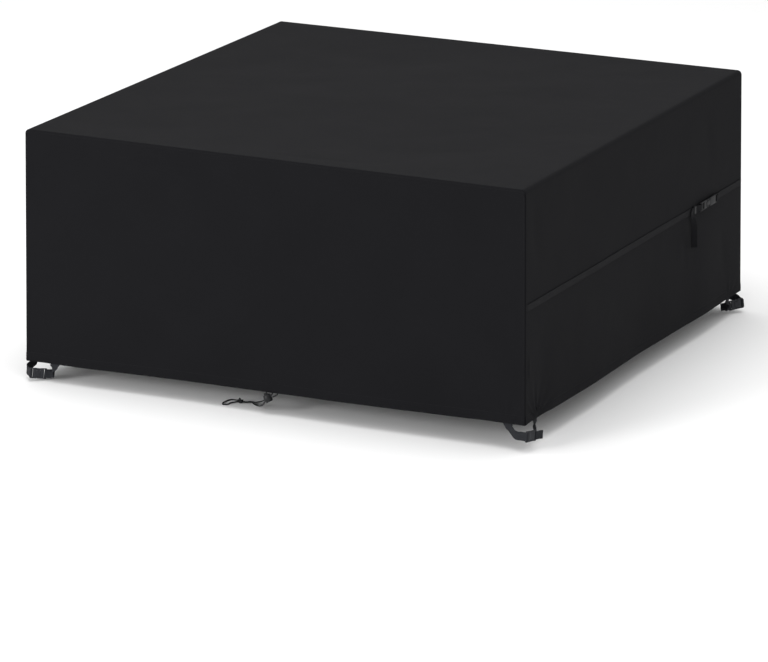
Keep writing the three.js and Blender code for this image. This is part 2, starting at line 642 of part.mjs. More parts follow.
const barrelSwell = (height) => BARREL_RADIUS * Math.sqrt(1 - 0.42 * (height / BARREL_HALF) ** 2);
const mouth = BUTTON_RADIUS + BUTTON_CLEAR;
onLock(addPiece('cord_lock_barrel', lathe([
  [0, -BARREL_HALF],
  ...evenly(-BARREL_HALF, BARREL_HALF, 6).map((height) => [barrelSwell(height), height]),
  [mouth, BARREL_HALF], [mouth, BARREL_HALF - SOCKET_DEPTH], [0, BARREL_HALF - SOCKET_DEPTH],
], 20), PLASTIC_COLOUR, 0.35));

const buttonFoot = BARREL_HALF - SOCKET_DEPTH + BUTTON_TRAVEL + 0.5;
const buttonTop = BARREL_HALF + BUTTON_PROUD;
onLock(addPiece('cord_lock_button', lathe([
  [0, buttonFoot], [BUTTON_RADIUS, buttonFoot], [BUTTON_RADIUS, buttonTop - 2],
  [BUTTON_RADIUS * 0.8, buttonTop - 0.6], [0, buttonTop],
], 16), PLASTIC_COLOUR, 0.35));

// The knot: an egg with three soft wraps round it.
function knot() {
  const geometry = tight(new THREE.SphereGeometry(1, 18, 12));
  const place = geometry.getAttribute('position');
  for (let i = 0; i < place.count; i += 1) {
    const point = vec().fromBufferAttribute(place, i);
    const wrap = 0.93 + 0.07 * Math.cos(3 * Math.PI * point.y + Math.atan2(point.z, point.x));
    point.multiply(vec(KNOT_ACROSS * wrap, KNOT_LONG, KNOT_ACROSS * wrap));
    place.setXYZ(i, ...point.toArray());
  }
  return geometry;
}

const knotMesh = addPiece('cord_knot', knot(), CORD_COLOUR);
knotMesh.quaternion.setFromUnitVectors(vec(0, 1, 0), KNOT_WAY.clone().normalize());
knotMesh.position.copy(KNOT);

export default cover;
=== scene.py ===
"""Fitted cover for a square garden table, dressed on its frame.

Metres, +Z up. The origin is the middle of the top's underside, +X is the wall with the buckled
strap and -Y is the wall with the drawcord.
"""
import math

import bpy
import numpy as np
from mathutils import Matrix, Vector


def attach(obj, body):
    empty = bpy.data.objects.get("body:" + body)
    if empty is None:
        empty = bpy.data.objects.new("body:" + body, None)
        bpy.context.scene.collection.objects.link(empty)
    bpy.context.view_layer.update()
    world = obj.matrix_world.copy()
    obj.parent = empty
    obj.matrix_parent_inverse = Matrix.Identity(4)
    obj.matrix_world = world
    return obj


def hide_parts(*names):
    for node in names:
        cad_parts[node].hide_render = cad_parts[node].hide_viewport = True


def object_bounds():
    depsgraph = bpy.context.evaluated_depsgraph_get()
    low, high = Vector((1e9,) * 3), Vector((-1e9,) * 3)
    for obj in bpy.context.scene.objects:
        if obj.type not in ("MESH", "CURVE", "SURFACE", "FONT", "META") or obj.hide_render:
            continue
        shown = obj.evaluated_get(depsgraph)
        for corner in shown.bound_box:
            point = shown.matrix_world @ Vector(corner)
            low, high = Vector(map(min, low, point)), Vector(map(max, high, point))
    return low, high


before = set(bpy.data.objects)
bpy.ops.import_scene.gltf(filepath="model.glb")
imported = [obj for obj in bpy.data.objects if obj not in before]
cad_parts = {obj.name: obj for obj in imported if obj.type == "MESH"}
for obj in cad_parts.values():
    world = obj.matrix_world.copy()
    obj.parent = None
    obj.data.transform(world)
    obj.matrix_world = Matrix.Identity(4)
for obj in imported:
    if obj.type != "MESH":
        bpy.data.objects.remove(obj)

cad_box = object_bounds()
MM = 0.001


# ---- Camera ----
# Looks down over the corner between the drawcord's wall and the buckled wall, from far off with a
# long lens, so that the box's edges stay nearly parallel.
AZIMUTH = math.radians(26.1575)
ELEVATION = math.radians(16.2603)
CAMERA_AT = (5.89793, -12.06900, 3.18384)
FOCUS_PX = 4530.6  # focal length, in pixels of the picture
PICTURE_PX = 768  # the picture's width
SENSOR_MM = 36

cos_a, sin_a = math.cos(AZIMUTH), math.sin(AZIMUTH)
cos_e, sin_e = math.cos(ELEVATION), math.sin(ELEVATION)
right_up_back = Matrix([
    (cos_a, sin_a, 0), (-sin_a * sin_e, cos_a * sin_e, cos_e), (sin_a * cos_e, -cos_a * cos_e, sin_e)])

camera_data = bpy.data.cameras.new("camera")
camera_data.sensor_width = SENSOR_MM
camera_data.lens = SENSOR_MM * FOCUS_PX / PICTURE_PX
camera_data.clip_end = 60
camera = bpy.data.objects.new("camera", camera_data)
camera.matrix_world = Matrix.Translation(CAMERA_AT) @ right_up_back.transposed().to_4x4()
bpy.context.scene.collection.objects.link(camera)
bpy.context.scene.camera = camera


# ---- Drawcord ----
# Round braided polyester cord of 4 mm, limp and matt. It runs inside the front hem, comes out of
# it in two strands, goes down through the lock and the knot, and ends in a loop on the ground.
CORD = 4 * MM
LYING = -772  # mm, the cord's middle where it lies
CORD_SIDES = 20
PLAITS = 8  # yarns round the braid

# In mm: out of the hem, through the lock and the knot, round the end loop and back to the hem.
CORD_ROUTE = np.array([
    (11.4, -823.2, -706.9), (10.4, -823.3, -709.6), (7.2, -823.4, -712.5), (4.5, -823.5, -714.1),
    (-16.1, -823.4, -731.5), (-25, -814.5, -737.3), (-42, -796, -747), (-60, -780, -756),
    (-78, -766, -763), (-92, -756, -766.4), (-102, -754, -768), (-110, -757, -769.6),
    (-117.8, -761.2, -767.8),
    (-137.1, -757.6, -767.8), (-146, -750, -770.5), (-155, -744.5, -771.9), (-165, -745, LYING),
    (-172, -755, LYING), (-174.5, -770, LYING), (-174, -786, LYING), (-168.5, -797.5, LYING),
    (-160, -799, LYING), (-154.5, -790, LYING), (-153.5, -778, LYING), (-151, -769.5, LYING),
    (-145.5, -765.5, -771.5), (-138.1, -764.6, -769.5),
    (-121.3, -757.3, -769.8), (-113, -749, LYING), (-106, -744, LYING), (-98, -746, LYING),
    (-88, -754.5, LYING), (-72, -771, -768.6), (-50, -793, -762.5), (-29, -812, -751.5),
    (-17.5, -821.5, -740.5), (-12.8, -823.4, -735.2),
    (7.8, -823.5, -719.6), (14, -823.4, -717.2), (21, -823.3, -713.6), (25.4, -823.2, -710),
    (26.6, -823.2, -706.6),
]) * MM


def linear(hex_colour):
    """An sRGB hex colour as linear RGBA."""
    channels = [int(hex_colour[i:i + 2], 16) / 255 for i in (1, 3, 5)]
    return [c / 12.92 if c <= 0.04045 else ((c + 0.055) / 1.055) ** 2.4 for c in channels] + [1]


def add(material, kind, links=(), sockets=(), **settings):
    """Adds a node: links join other nodes' outputs to its inputs, sockets gives values of inputs
    by name or number, and each setting is an attribute."""
    node = material.node_tree.nodes.new(kind)
    for entry, value in dict(sockets).items():
        node.inputs[entry].default_value = value
    for name, value in settings.items():
        setattr(node, name, value)
    for output, entry in links:
        material.node_tree.links.new(output, node.inputs[entry])
    return node


def entries(material):
    return material.node_tree.nodes["Principled BSDF"].inputs


def surface(name, **sockets):
    """A material whose Principled surface has the given values."""
    material = bpy.data.materials.new(name)
    material.use_nodes = True
    for socket, value in sockets.items():
        entries(material)[socket.replace("_", " ")].default_value = value
    return material


def feed(material, entry, output):
    """Joins an output to a socket of the material's surface."""
    material.node_tree.links.new(output, entries(material)[entry])


def noise(material, scale, detail=2.0, space="Object", **sockets):
    """A noise texture's output, laid out in the object's space or in another."""
    place = add(material, "ShaderNodeTexCoord").outputs[space]
    sockets = {"Scale": scale, "Detail": detail, **sockets}
    return add(material, "ShaderNodeTexNoise", [(place, "Vector")], sockets).outputs["Fac"]


def tint(material, factor, dark, light):
    """Colours the surface between two hex colours by a factor."""
    colours = {6: linear(dark), 7: linear(light)}
    mix = add(material, "ShaderNodeMix", [(factor, 0)], colours, data_type="RGBA")
    feed(material, "Base Color", mix.outputs[2])


def relief(material, *heights):
    """Chains bumps, each (output, height in metres), into the surface's normal."""
    below = []
    for output, height in heights:
        links = [(output, "Height"), *below]
        bump = add(material, "ShaderNodeBump", links, {"Strength": 1, "Distance": height})
        below = [(bump.outputs["Normal"], "Normal")]
    feed(material, "Normal", bump.outputs["Normal"])


def braided_polyester():
    """Braided polyester cord: dull black, with the paler glint of its crossing yarns."""
    material = surface("braided_polyester", Roughness=0.75, Specular_IOR_Level=0.3)
    grain = noise(material, 900, space="UV")
    tint(material, grain, "#0e0e10", "#1b1c1e")
    relief(material, (grain, 0.0002))
    return material


def lengths(points):
    return np.linalg.norm(np.diff(points[:, :3], axis=0), axis=1)


def catmull_rom(points, step):
    """A smooth line through the points by the centripetal Catmull-Rom rule: each span is a cubic,
    sloped by its neighbours and cut into steps of about that length."""
    counts = np.maximum(1, np.round(lengths(points) / step)).astype(int)
    padded = np.vstack([2 * points[0] - points[1], points, 2 * points[-1] - points[-2]])
    gaps = np.sqrt(lengths(padded))[:, None]
    spans = np.repeat(np.arange(len(points) - 1), counts)
    share = np.concatenate([np.arange(count) / count for count in counts])[:, None]
    p0, p1, p2, p3 = (padded[spans + i] for i in range(4))
    g0, g1, g2 = (gaps[spans + i] for i in range(3))
    slope1 = g1 * ((p1 - p0) / g0 - (p2 - p0) / (g0 + g1) + (p2 - p1) / g1)
    slope2 = g1 * ((p2 - p1) / g1 - (p3 - p1) / (g1 + g2) + (p3 - p2) / g2)
    cubic = 2 * p1 - 2 * p2 + slope1 + slope2
    square = -3 * p1 + 3 * p2 - 2 * slope1 - slope2
    line = ((cubic * share + square) * share + slope1) * share + p1
    return np.vstack([line, points[-1]])


def unit(vectors):
    return vectors / np.maximum(np.linalg.norm(vectors, axis=-1, keepdims=True), 1e-12)


def runs(line):
    """How far along a line each of its points is."""
    return np.r_[[0], np.cumsum(lengths(line))]


def grid(*arrays):
    return np.stack(np.broadcast_arrays(*arrays), -1)


def angles(count):
    return np.linspace(0, 2 * np.pi, count, endpoint=False)


def spokes(side, other, count):
    """Unit ways all round, in the plane of two that are square to each other."""
    turn = angles(count)[:, None]
    return np.cos(turn) * side[..., None, :] + np.sin(turn) * other[..., None, :]


def lattice(rows, columns, wrap=False):
    """The quads between a grid's points; wrap joins its last column to its first."""
    row, column = np.meshgrid(np.arange(rows - 1), np.arange(columns - (not wrap)), indexing="ij")
    this, after = row * columns, (column + 1) % columns
    below = this + columns
    return np.stack([this + column, below + column, below + after, this + after], -1).reshape(-1, 4)


def outward(points, faces):
    """The faces, turned over if their solid's volume is below zero. A triangle's last point comes
    twice."""
    a, b, c, d = (points[faces[:, i]] for i in range(4))
    volume = np.einsum("ij,ij->", a, np.cross(b, c)) + np.einsum("ij,ij->", a, np.cross(c, d))
    return faces if volume > 0 else faces[:, [1, 0, 3, 2]]


def tube(rings, around=None):
    """A closed solid from rings of points, with a fan over each end: its points, its faces, and
    its UVs in metres along and around it."""
    rows, columns = rings.shape[:2]
    points = np.vstack([rings.reshape(-1, 3), rings[[0, -1]].mean(axis=1)])
    turn = np.arange(columns)
    after, last = (turn + 1) % columns, (rows - 1) * columns
    tip = rows * columns
    fans = [grid(turn, after, tip, tip), grid(after + last, turn + last, tip + 1, tip + 1)]
    along = runs(rings.mean(axis=1))
    if around is None:
        around = np.linspace(0, runs(rings[rows // 2])[-1], columns + 1)
    uv = np.vstack([grid(along[:, None], around[:-1]).reshape(-1, 2), [(along[0], 0), (along[-1], 0)]])
    return points, outward(points, np.vstack([lattice(rows, columns, wrap=True), *fans])), uv


def build(name, shells, material, body="cover", sharp=50):
    """One object of closed shells (points, faces, uv), smooth but for edges sharper than that many
     degrees. It rides on a body and takes the given material."""
    starts = np.cumsum([0] + [len(points) for points, _, _ in shells])
    faces = np.vstack([faces + start for (_, faces, _), start in zip(shells, starts)])
    fans = faces[:, 2] == faces[:, 3]
    mesh = bpy.data.meshes.new(name)
    points = np.vstack([points for points, _, _ in shells])
    mesh.from_pydata(points, [], faces[~fans].tolist() + faces[fans, :3].tolist())
    corners = np.empty(len(mesh.loops), int)
    mesh.loops.foreach_get("vertex_index", corners)
    uv = np.vstack([uv for _, _, uv in shells])
    mesh.uv_layers.new(name="cut").data.foreach_set("uv", uv[corners].ravel())
    mesh.shade_smooth()
    mesh.set_sharp_from_angle(angle=math.radians(sharp))
    mesh.materials.append(material)
    piece = bpy.data.objects.new(name, mesh)
    bpy.context.scene.collection.objects.link(piece)
    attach(piece, body)
    return piece


def cord_rings(line, radius):
    """Rings square to a line, without twist, that swell where the braid's two helices cross."""
    way = unit(np.gradient(line, axis=0))
    side = np.empty_like(line)
    side[0] = unit(np.cross(way[0], (0.3, 0.2, 1)))
    for i in range(1, len(line)):
        side[i] = unit(side[i - 1] - way[i] * (side[i - 1] @ way[i]))
    turn, run = PLAITS * angles(CORD_SIDES) / 2, runs(line)[:, None] / radius
    reach = radius * (0.94 + 0.1 * np.abs(np.sin(turn + run) * np.sin(turn - run)))
    return line[:, None] + reach[..., None] * spokes(side, np.cross(way, side), CORD_SIDES)


# Both ends go on up into the hem.
IN_HEM = np.array([(11.5, -822.4, -704.4), (26.7, -822.4, -704.1)]) * MM
cord_points = np.vstack([IN_HEM[:1], CORD_ROUTE, IN_HEM[1:]])
cord_line = catmull_rom(cord_points, 0.9 * MM)
cord_material = braided_polyester()
drawcord = build("drawcord", [tube(cord_rings(cord_line, CORD / 2))], cord_material, sharp=40)
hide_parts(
    "cord_hem_left", "cord_lock_upper", "cord_end_loop", "cord_lock_lower", "cord_hem_right")


# ---- Knot ----
# The doubled cord is tied in one overhand knot, which keeps the lock from sliding off.
KNOT_AT = np.array((-128, -763, -765.4)) * MM
KNOT_WAY = unit(np.array((-0.97, 0.24, 0)))
UP = np.array((0, 0, 1.0))


def overhand():
    """A trefoil line, the path of an overhand knot, drawn out along the knot's axis."""
    t = angles(220)
    reach = 3.9 + 2.3 * np.cos(3 * t)
    return np.stack([6.6 * np.sin(3 * t + 0.3), reach * np.cos(2 * t), reach * np.sin(2 * t)], -1) * MM


def closed_way(line):
    return unit(np.roll(line, -1, axis=0) - np.roll(line, 1, axis=0))


def closed_rings(line, radius):
    """Rings round a closed line, each set by the line's way and the way out from its middle."""
    way = closed_way(line)
    side = unit(np.cross(way, unit(line * (0.2, 1, 1))))
    return line[:, None] + radius * spokes(side, np.cross(way, side), 14)


def ring_shell(rings):
    """A closed ring-shaped solid from rings of points, the last joined to the first."""
    rows, columns = rings.shape[:2]
    faces = lattice(rows + 1, columns, wrap=True) % (rows * columns)
    points = rings.reshape(-1, 3)
    uv = grid(np.arange(rows)[:, None], np.arange(columns)).reshape(-1, 2) * MM
    return points, outward(points, faces), uv


def placed(points, origin, along, up):
    """Points made along x, with y up, set at an origin by the way that their x and y point."""
    return points @ np.stack([along, up, np.cross(along, up)]) + origin


knot_rings = closed_rings(placed(overhand(), 0, KNOT_WAY, UP), CORD / 2) + KNOT_AT
knot = build("knot", [ring_shell(knot_rings)], cord_material, sharp=40)
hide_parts("cord_knot")


# ---- Cord lock ----
# Moulded nylon barrel with a sprung button. The cord's two strands go through a hole that the
# button closes, and pressing it against its spring lets the lock slide.
LOCK_AT = np.array((-4.4, -823.5, -724.3)) * MM
LOCK_AXIS = np.array((-0.5, 0, 0.866))  # the way the button looks
BARREL_RADIUS = 12.5 * MM
BARREL_HALF = 11.5 * MM
BUTTON_RADIUS = 5.5 * MM
BUTTON_PROUD = 6.5 * MM
SOCKET_DEPTH = 9 * MM
BUTTON_FOOT = BARREL_HALF - SOCKET_DEPTH + 7.1 * MM  # clears the cord when it is pressed 4 mm
EYELET_OUT, EYELET_HALF, EYELET_THICK = 11.6 * MM, 3.4 * MM, 0.9 * MM


def roughen(material, factor, low, high):
    """Sets the surface's roughness between two values by a factor."""
    spread = add(material, "ShaderNodeMapRange", [(factor, "Value")], {"To Min": low, "To Max": high})
    feed(material, "Roughness", spread.outputs["Result"])


def moulded_nylon():
    """Injection-moulded black nylon: smooth half gloss with faint flow marks and rubbed patches."""
    material = surface("moulded_nylon", IOR=1.53, Roughness=0.35, Specular_IOR_Level=0.25)
    rubs = noise(material, 260, 4)
    tint(material, rubs, "#0c0c0e", "#18191b")
    roughen(material, rubs, 0.34, 0.55)
    relief(material, (noise(material, 2400), 0.00003))
    return material


def turned(profile, flutes=0, depth=0):
    """A solid turned round +Z from (radius, height) points; flutes are soft grooves along its
    side, cut in by a share of the radius."""
    turn = angles(48)
    radius = profile[:, :1] * (1 - depth * np.abs(np.cos(flutes * turn / 2)) ** 6)
    return grid(radius * np.cos(turn), radius * np.sin(turn), profile[:, 1:])


def aimed(points, origin, axis):
    """Points made round +Z, turned so that +Z looks along the axis, and set at the origin."""
    turn = Vector((0, 0, 1)).rotation_difference(Vector(axis)).to_matrix()
    return points @ np.array(turn).T + origin


def barrel_profile():
    """The barrel's section: an elliptical side, rounded rims and a straight socket in its top."""
    height = np.linspace(-BARREL_HALF, BARREL_HALF, 25)
    radius = BARREL_RADIUS * np.sqrt(1 - 0.42 * (height / BARREL_HALF) ** 2)
    rim = 1.4 * MM * np.clip((np.abs(height) - 0.86 * BARREL_HALF) / (0.14 * BARREL_HALF), 0, 1) ** 2
    socket, floor = BUTTON_RADIUS + 0.4 * MM, BARREL_HALF - SOCKET_DEPTH
    lip = np.array([(0.8, 0), (0.15, -0.25), (0, -0.9)]) * MM + (socket, BARREL_HALF)
    side = np.stack([radius - rim, height], -1)
    return np.vstack([[(0.5 * MM, -BARREL_HALF)], side, lip, [(socket, floor), (0.5 * MM, floor)]])


def eyelet(way):
    """A raised oval rim round a hole in the barrel's side that looks the given way."""
    turn = angles(28)
    line = np.stack([1.25 * np.cos(turn), np.sin(turn), 0 * turn], -1) * EYELET_HALF
    return aimed(line[:, None] + EYELET_THICK * spokes(unit(line), UP, 10), way * EYELET_OUT, way)


nylon = moulded_nylon()
strand_way = unit(CORD_ROUTE[4] - CORD_ROUTE[3])  # the route's step through the lock
barrel_shell = tube(aimed(turned(barrel_profile()), LOCK_AT, LOCK_AXIS))
eyelets = [ring_shell(eyelet(way) + LOCK_AT) for way in (strand_way, -strand_way)]
barrel = build("lock_barrel", [barrel_shell, *eyelets], nylon)
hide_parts("cord_lock_barrel")

button_long = BARREL_HALF + BUTTON_PROUD - BUTTON_FOOT
button_height = np.array([0, 0, 0.55, 0.72, 0.84, 0.93, 0.98, 1, 1]) * button_long + BUTTON_FOOT
button_radius = np.array([0.05, 0.96, 1, 1, 0.99, 0.93, 0.8, 0.55, 0.05]) * BUTTON_RADIUS
button_rings = aimed(turned(np.stack([button_radius, button_height], -1), 12, 0.06), LOCK_AT, LOCK_AXIS)
button = build("lock_button", [tube(button_rings)], nylon, body="lock_button")
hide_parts("cord_lock_button")


# ---- How the cloth hangs ----
# The cover is dropped over the furniture and its straps pull it down. One smooth field, the same
# as the frame's, moves every piece of cloth, and listed creases are added to it.
SIDE = 1630 * MM  # each side of the square top
HALF = SIDE / 2
CLOTH = 2 * MM  # thickness of the frame's cloth
DROP = 710 * MM
TOP = CLOTH  # the top's upper face
HEM_LOW = TOP - DROP  # the hem's lower edge
FOLD = 14 * MM  # radius of the soft fold from the top to a side wall
FLARE_X, FLARE_Y = 9 * MM, 8.5 * MM
SAG = 5 * MM

# Each corner's side and end, and its rise above a true box at the top and at the hem, in mm.
CORNERS = [(-1, -1, -3, -9), (1, -1, -6, 13), (1, 1, 3, -3), (-1, 1, 4, 0)]

# Upright folds: where along the wall from -1 to 1, width, swell at the hem in mm, and start.
FOLDS = {
    "front": [(-0.74, 0.10, 3.5, 0.2), (-0.34, 0.20, -4, 0.1), (0.36, 0.22, 4, 0.1), (0.84, 0.07, -3.5, 0.4)],
    "right": [(-0.86, 0.07, -5, 0.5), (-0.45, 0.18, 3.5, 0.1), (0.05, 0.22, -4, 0.2), (0.62, 0.14, 4, 0.3)],
    "back": [(-0.55, 0.20, 4, 0.1), (0.10, 0.16, -3.5, 0.2), (0.66, 0.15, 3, 0.3)],
    "left": [(-0.60, 0.16, -3.5, 0.2), (0.02, 0.22, 4.5, 0.1), (0.64, 0.13, -3, 0.3)],
}

# Broad swells of the top: place, width, and rise in mm.
TOP_SWELLS = [
    (-0.45, -0.35, 0.38, 2.5), (0.35, 0.30, 0.45, 3), (0.55, -0.50, 0.28, -1.5), (-0.35, 0.55, 0.32, -2),
]


def bell(distance, width):
    return np.exp(-(distance / width) ** 2)


def smooth(value, low, high):
    """A soft step from 0 at low to 1 at high, with level ends."""
    share = np.clip((value - low) / (high - low), 0, 1)
    return share * share * (3 - 2 * share)


def swell(wall, along, down):
    """How far a wall stands out: each fold is a bell across the wall that grows downwards."""
    return sum(high * MM * smooth(down, start, 1) * bell(along - at, width)
               for at, width, high, start in FOLDS[wall])


def hang(x, y, z):
    """Where a point of the true box hangs: flared with its depth, swelled by the upright folds,
    raised by its corners' heights, and sagged over the top."""
    x, y, z = np.broadcast_arrays(x, y, z)
    u, v = x / HALF, y / HALF
    down = np.clip((TOP - z) / DROP, 0, 1.1)
    side_swell = np.where(u > 0, swell("right", v, down), swell("left", v, down))
    end_swell = np.where(v > 0, swell("back", u, down), swell("front", u, down))
    rise = sum((1 + side * u) * (1 + end * v) / 4 * (top + (hem - top) * down) * MM
               for side, end, top, hem in CORNERS)
    swells = sum(high * MM * bell(np.hypot(u - at_x, v - at_y), width)
                 for at_x, at_y, width, high in TOP_SWELLS)
    inner = (1 - u ** 4) * (1 - v ** 4)
    top_rise = (1 - down) ** 12 * inner * (swells - SAG)
    return np.stack([
        x + u * FLARE_X * down + np.sign(u) * np.abs(u) ** 8 * side_swell,
        y + v * FLARE_Y * down + np.sign(v) * np.abs(v) ** 8 * end_swell,
        z + rise + top_rise,
    ], -1)


# Creases of each face, in mm: from (across, height) to (across, height), bow, width and depth. A
# depth below zero is a ridge. The top's are from (x, y) to (x, y).
CREASES = {
    "front": [
        (-560, -36, -170, -54, 6, 11, 1.9), (-500, -22, -250, -34, 3, 8, -1.3),
        (60, -42, 420, -62, 8, 12, 1.9), (140, -26, 520, -36, -4, 9, -1.3),
        (-790, -70, -690, -330, 22, 24, 1.4), (-120, -240, 90, -560, 40, 42, 1.6),
        (380, -330, 640, -610, -30, 38, -1.5), (-650, -480, -420, -660, 24, 30, 1.3),
        (700, -140, 610, -420, 20, 30, 1.2), (-60, -560, -20, -690, 4, 16, 1.4),
        (40, -600, 26, -690, -4, 14, -1.2),
    ],
    "right": [
        (-520, -250, -300, -330, 10, 20, 1.2), (-480, -392, -250, -420, -8, 22, 1.5),
        (-700, -410, -560, -470, 12, 18, 1.3), (60, -268, 240, -318, -8, 20, 1.4),
        (180, -410, 330, -470, 10, 22, 1.3), (330, -290, 440, -335, 6, 14, -1.2),
        (-760, -60, -700, -260, 16, 26, 1.3), (500, -60, 560, -300, -20, 30, 1.2),
        (-200, -480, 120, -640, 34, 44, 1.6), (640, -420, 700, -640, 12, 26, 1.3),
        (370, -400, 350, -560, 8, 16, 1.1), (-789, -500, -785, -580, 2, 8, -2.2),
    ],
    "back": [
        (-480, -34, -80, -50, 6, 13, 1.0), (140, -28, 520, -46, -6, 12, 1.0),
        (-640, -180, -420, -520, 30, 36, 1.5), (80, -260, 320, -600, -36, 42, 1.6),
        (620, -120, 700, -420, 16, 28, 1.2), (-200, -420, -60, -640, 18, 30, -1.2),
    ],
    "left": [
        (-620, -140, -380, -460, 30, 36, 1.5), (-60, -220, 160, -600, -34, 44, 1.6),
        (430, -160, 560, -520, 20, 34, 1.4), (680, -380, 740, -640, 12, 26, 1.2),
        (-760, -420, -700, -660, -10, 24, 1.2),
    ],
    "top": [
        (-720, -700, -330, -520, 30, 60, 1.6), (-640, 540, -120, 380, -50, 80, 1.8),
        (140, -640, 560, -380, 40, 70, 1.4), (220, 120, 700, 300, -30, 80, 1.6),
        (-420, -60, 60, 40, 40, 90, -1.6), (420, 560, 730, 700, 20, 60, 1.4),
        (-700, 100, -520, 420, 20, 60, 1.2), (-100, -760, 320, -735, 5, 16, 0.9),
        (-120, 300, 240, 560, -40, 80, -1.3),
    ],
}

# Gathers where a strap's stitching draws the hem together: wall, across and height in mm, their
# reach and depth in mm, and how many ripples fan out from each.
GATHERS = [
    ("right", -731, -704, 84, 2.3, 7), ("front", 757, -706, 60, 1.4, 5), ("front", -716, -706, 50, 0.9, 5),
    ("left", -761, -706, 50, 0.9, 5), ("back", 761, -706, 50, 0.9, 5), ("right", 713, -706, 50, 1.0, 5),
    ("back", -761, -706, 50, 0.9, 5), ("left", 713, -706, 50, 0.9, 5), ("front", 18, -706, 44, 1.1, 6),
]


def crease_depth(face, across, height):
    """How far a face dips, in metres: each crease is a bell-shaped trough along a bowed line that
    fades at its ends, and each gather is a fan of ripples."""
    across, height = across / MM, height / MM
    total = np.zeros(np.broadcast(across, height).shape)
    for x0, z0, x1, z1, bow, width, depth in CREASES[face]:
        way_x, way_z = x1 - x0, z1 - z0
        length = math.hypot(way_x, way_z)
        share = ((across - x0) * way_x + (height - z0) * way_z) / length ** 2
        arch = 4 * share * (1 - share)
        off = ((across - x0) * way_z - (height - z0) * way_x) / length - bow * arch
        total += depth * np.clip(arch, 0, 1) * bell(off, width)
    for wall, at, level, reach, depth, ripples in GATHERS:
        if wall == face:
            away = np.hypot(across - at, height - level)
            angle = np.arctan2(height - level + 6, across - at)
            fan = np.cos(ripples * angle * 2 + 0.8) + 0.5 * np.cos(ripples * angle * 3.3 + at)
            total += depth * fan * bell(away, reach) * smooth(away, 4, 26)
    wobble = np.sin(across / 61 + np.sin(height / 83)) * np.sin(height / 47 + 1.3 * np.sin(across / 109))
    return (total + 0.35 * wobble) * MM


def laid(face, across, height, keep):
    """The crease depth, held back near seams and folds; keep is how far away they are."""
    return crease_depth(face, across, height) * smooth(keep, 6 * MM, 28 * MM)


def right_wall(y, z, off):
    """Points on the right wall's outer face, `off` out from it, creases included."""
    y, z = np.broadcast_arrays(y, z)
    dip = laid("right", y, z, np.minimum(HALF - np.abs(y), TOP - FOLD - z))
    return hang(HALF, y, z) + np.stack([off - dip, 0 * dip, 0 * dip], -1)


# ---- Main panel ----
# Left wall, top and right wall in one length of coated polyester, turned up and sewn at both
# hems. Its two long edges are sewn to the front and back panels.
FACE_STEP = 14 * MM
NEAR_STEP = 6 * MM  # finer beside the seams and the hem
NEAR = 110 * MM
INNER_SINK = 0.6  # how far the inner face follows the outer one into a seam
THREAD = 1.6  # mm a thread of the drawn weave, three times its real size

# The section of a seamed edge, in mm: distance from the true corner, and depth below the face.
# The cloth rolls over and dives into the seam.
ROLLED = [(2.6, 2.4), (1.8, 1.6), (1.35, 0.9), (1.5, 0.3), (2.4, 0), (4, 0), (7, 0), (11, 0)]

# The section of the hem, in mm: height above its lower edge, and how far it stands out. The
# channel for the cord swells between the lower edge and the stitching.
HEM_SECTION = [
    (0, -0.6), (0.4, 0.2), (1.2, 0.8), (3, 1.1), (8, 1.3), (14, 1.3), (20, 1.1), (24, 0.9), (26.4, 0.6),
    (28, 0.05), (29.6, 0.4), (31.5, 0.25), (35, 0),
]


def wave(material, way, pitch, distortion, detail=0, detail_scale=1):
    """A wave texture's output, with a band every `pitch` mm along the UVs' x or y."""
    place = add(material, "ShaderNodeTexCoord").outputs["UV"]
    scale = math.pi / 10 / MM / pitch  # a scale of 1 makes bands pi / 10 m apart
    sockets = {"Scale": scale, "Distortion": distortion, "Detail": detail, "Detail Scale": detail_scale}
    texture = add(material, "ShaderNodeTexWave", [(place, "Vector")], sockets, bands_direction=way)
    return texture.outputs["Fac"]


def product(material, one, other):
    """Two factors multiplied."""
    return add(material, "ShaderNodeMath", [(one, 0), (other, 1)], operation="MULTIPLY").outputs[0]


def coated_polyester():
    """Black woven polyester with a coated back: matt, with a faint plain weave, a soft sheen on
    its folds and a little greying where it is rubbed."""
    material = surface(
        "coated_polyester", Roughness=0.85, Specular_IOR_Level=0.04, Sheen_Weight=0.01, Sheen_Roughness=0.5)
    weave = product(material, *(wave(material, way, THREAD, 0.3) for way in "XY"))
    patches, fibres, slack = noise(material, 5, 3), noise(material, 420), noise(material, 9, Distortion=0.6)
    both = add(material, "ShaderNodeMix", [(patches, 2), (fibres, 3)], {0: 0.5}).outputs[0]
    tint(material, both, "#0f0f11", "#1a1a1c")
    roughen(material, patches, 0.72, 0.9)
    relief(material, (slack, 0.0012), (fibres, 0.00004), (weave, 0.00008))
    return material


def stretch(*stops):
    """Places from the first stop to the last: each stop is (place, step to the next one)."""
    places = []
    for (low, step), (high, _) in zip(stops, stops[1:]):
        places.append(np.linspace(low, high, max(1, round(abs(high - low) / step)), endpoint=False))
    return np.concatenate([*places, [stops[-1][0]]])


def cloth_shell(outer, inner, uv):
    """A closed sheet from the grids of its two faces, with its four edges closed over."""
    rows, columns = outer.shape[:2]
    count = rows * columns
    points = np.vstack([outer.reshape(-1, 3), inner.reshape(-1, 3)])
    place = np.arange(count).reshape(rows, columns)
    rim = np.r_[place[:-1, 0], place[-1, :-1], place[:0:-1, -1], place[0, :0:-1]]
    after = np.roll(rim, -1)
    face = lattice(rows, columns)
    edge = np.stack([after, rim, rim + count, after + count], -1)
    faces = np.vstack([face, face[:, ::-1] + count, edge])
    return points, outward(points, faces), np.vstack([uv.reshape(-1, 2)] * 2)


